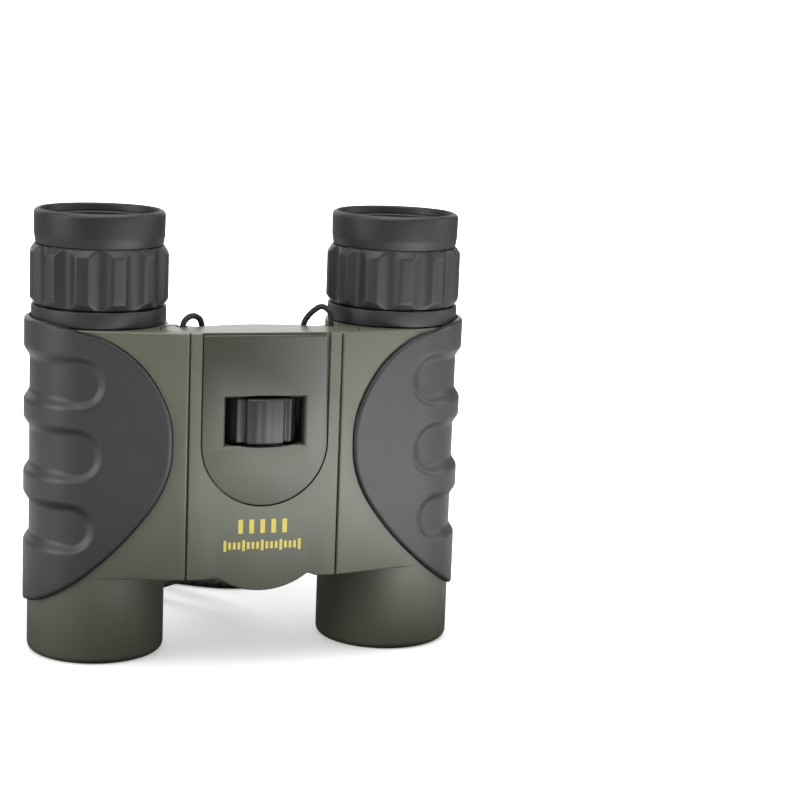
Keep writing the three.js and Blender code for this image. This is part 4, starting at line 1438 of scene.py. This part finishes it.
# ---------------------------------------------------------------- pieces inside
def bevelled(obj, width):
    modifier = obj.modifiers.new("edges", "BEVEL")
    modifier.width = width * MM
    modifier.segments = 2
    modifier.limit_method = "ANGLE"
    modifier.angle_limit = math.radians(35)
    evaluated(obj)
    shade(obj, 40)


def hinge_pins(side, name, looks):
    for level, (low, high) in PINS.items():
        mesh = lens(band(0, PIN_R, low, high, (0, 0.35, 0.35, 0), 4), 48)
        pin = solid(f"{name}_{level}_pin", mesh, looks["pin"], side, ON_HINGE)
        finish_piece(pin, "bridge", "steel", f"{name}_{level}_hinge_pin")


def spindle(looks):
    """Focus spindle: plain journals with a threaded stretch where the yoke's nut rides."""
    r, depth, pitch = 2.0, 0.22, 0.8
    low, high = 35.5, 51  # of the thread
    outline = [(0, 28.4), (r - 0.3, 28.4), (r, 28.7), (r, low)]
    for k in range(int((high - low) / pitch)):
        z = low + k * pitch
        outline += [(r, z), (r - depth, z + pitch * 0.45), (r, z + pitch * 0.9)]
    outline += [(r, high), (r, 73.7), (r - 0.3, 74), (0, 74)]
    piece = solid("threaded_spindle", lens(outline, 48), looks["steel"], 1, ON_WHEEL, 25)
    finish_piece(piece, "focus_wheel", "steel", "focus_spindle")
    bush = band(SPINDLE_BORE_R, 4.4, 67.4, 70.2, (0.2, 0.3, 0.3, 0.2))
    round_piece(
        "spindle_bush", bush, 1, looks["brass"], "bridge", "brass", "spindle_bushing",
        segments=48, about=ON_WHEEL,
    )


def yoke(looks):
    """Dark bronze bar between the hinge axes with a nut in the middle and a pin at each end."""
    outline = arc(HINGE[0], 0, YOKE_HALF, -90, 90, 12) + arc(-HINGE[0], 0, YOKE_HALF, 90, 270, 12)
    mesh = prism_mesh(outline, *YOKE_Z)
    bar = solid("yoke_bar", mesh, looks["bronze"], 1, (0, HINGE[1], 0))
    nut = tool(cylinder_mesh(4.2, 38.5, 48.5, 6), 1, ON_WHEEL)
    pins = [hinge_drum(YOKE_PIN_R, YOKE_Z[1] - 0.2, 49.2, side) for side, _ in SIDES]
    carve(bar, [nut] + pins, "UNION")
    carve(bar, [tool(cylinder_mesh(SPINDLE_BORE_R, 30, 60, 48), 1, ON_WHEEL)])
    bevelled(bar, 0.2)
    finish_piece(bar, "focus_yoke", "brass", "focus_yoke")


def focusing_cell(side, name, looks):
    """Ring that carries the focusing lens, with an arm to the pin on the hinge axis."""
    outline = [(10.8, 43, 0.2), (12.9, 43, 0.3), (12.9, 44.6, 0.1), (12.5, 44.9, 0.1)]
    outline += [(12.5, 45.3, 0.1), (12.9, 45.6, 0.1), (12.9, 49, 0.3), (10.8, 49, 0.2)]
    cell = solid(f"{name}_lens_cell", turned(rounded(outline, 3)), looks["black"], side, ON_AXIS)
    reach = math.hypot(*HINGE_IN)
    along = HINGE_IN / reach
    across = np.array([-along[1], along[0]])
    corners = [(11.2, -1.8), (reach, -1.8), (reach, 1.8), (11.2, 1.8)]
    outline = [tuple(along * a + across * b) for a, b in corners]
    arm = tool(prism_mesh(outline, *ARM_Z), side, ON_AXIS)
    carve(cell, [arm, hinge_drum(3.0, *ARM_Z, side)], "UNION")
    carve(cell, [hinge_drum(1.8, 40, 50, side)])
    finish_piece(cell, f"{name}_focusing_cell", "optics_black", f"{name}_focus_cell")
    glass_profile = dome(10.5, 44.2, 45.4) + dome(10.5, 47.8, 46.6)[::-1]
    lens_piece(
        f"{name}_focusing_glass", glass_profile, side, looks["ocular"], f"{name}_focusing_cell",
        "lens_glass", f"{name}_focus_lens",
    )


def prism_pair(side, name, looks):
    """Cage with a square window and the two prisms in it."""
    barrel = f"{name}_barrel"
    mesh = cylinder_mesh(TUBE_R, 52.5, 67.5)
    cage = solid(f"{name}_prism_holder", mesh, looks["black"], side, ON_AXIS)
    carve(cage, [tool(box_mesh((-8.6, 8.6), (-8.6, 8.6), (50, 70)), side, ON_AXIS)])
    bevelled(cage, 0.25)
    finish_piece(cage, barrel, "optics_black", f"{name}_prism_cage")
    half = PRISM_HALF
    outlines = {
        "half_penta": [(-half, 53), (half, 53), (half, 56), (-2, 59.8), (-half, 59.8)],
        "roof": [(-half, 60.1), (-2, 60.1), (half, 56.4), (half, 67), (-half, 67)],
    }
    for kind, outline in outlines.items():
        vertices, faces = slab_mesh(outline, -half, half)
        mesh = (vertices[:, [1, 0, 2]] * np.array([-1, 1, 1]), faces)
        piece = solid(f"{name}_{kind}_glass", mesh, looks["prism"], side, ON_AXIS)
        bevelled(piece, 0.2)
        finish_piece(piece, barrel, "prism_glass", f"{name}_{kind}_prism")
    field = dome(11.2, 75, 73.4) + [(11.2, 77), (0, 77)]
    lens_piece(
        f"{name}_field_glass", field, side, looks["ocular"], barrel, "lens_glass", f"{name}_field_lens"
    )


def main():
    make_camera()
    make_studio()
    looks = make_materials()
    strap(looks)
    for side, name in SIDES:
        barrel_shell(side, name, looks)
        grip(side, name, looks)
        eyepiece(side, name, looks)
        objective(side, name, looks)
        hinge_pins(side, name, looks)
        focusing_cell(side, name, looks)
        prism_pair(side, name, looks)
    bridge(looks)
    focus_cover(looks)
    back_cover(looks)
    screws(looks)
    wheel(looks)
    spindle(looks)
    yoke(looks)


main()
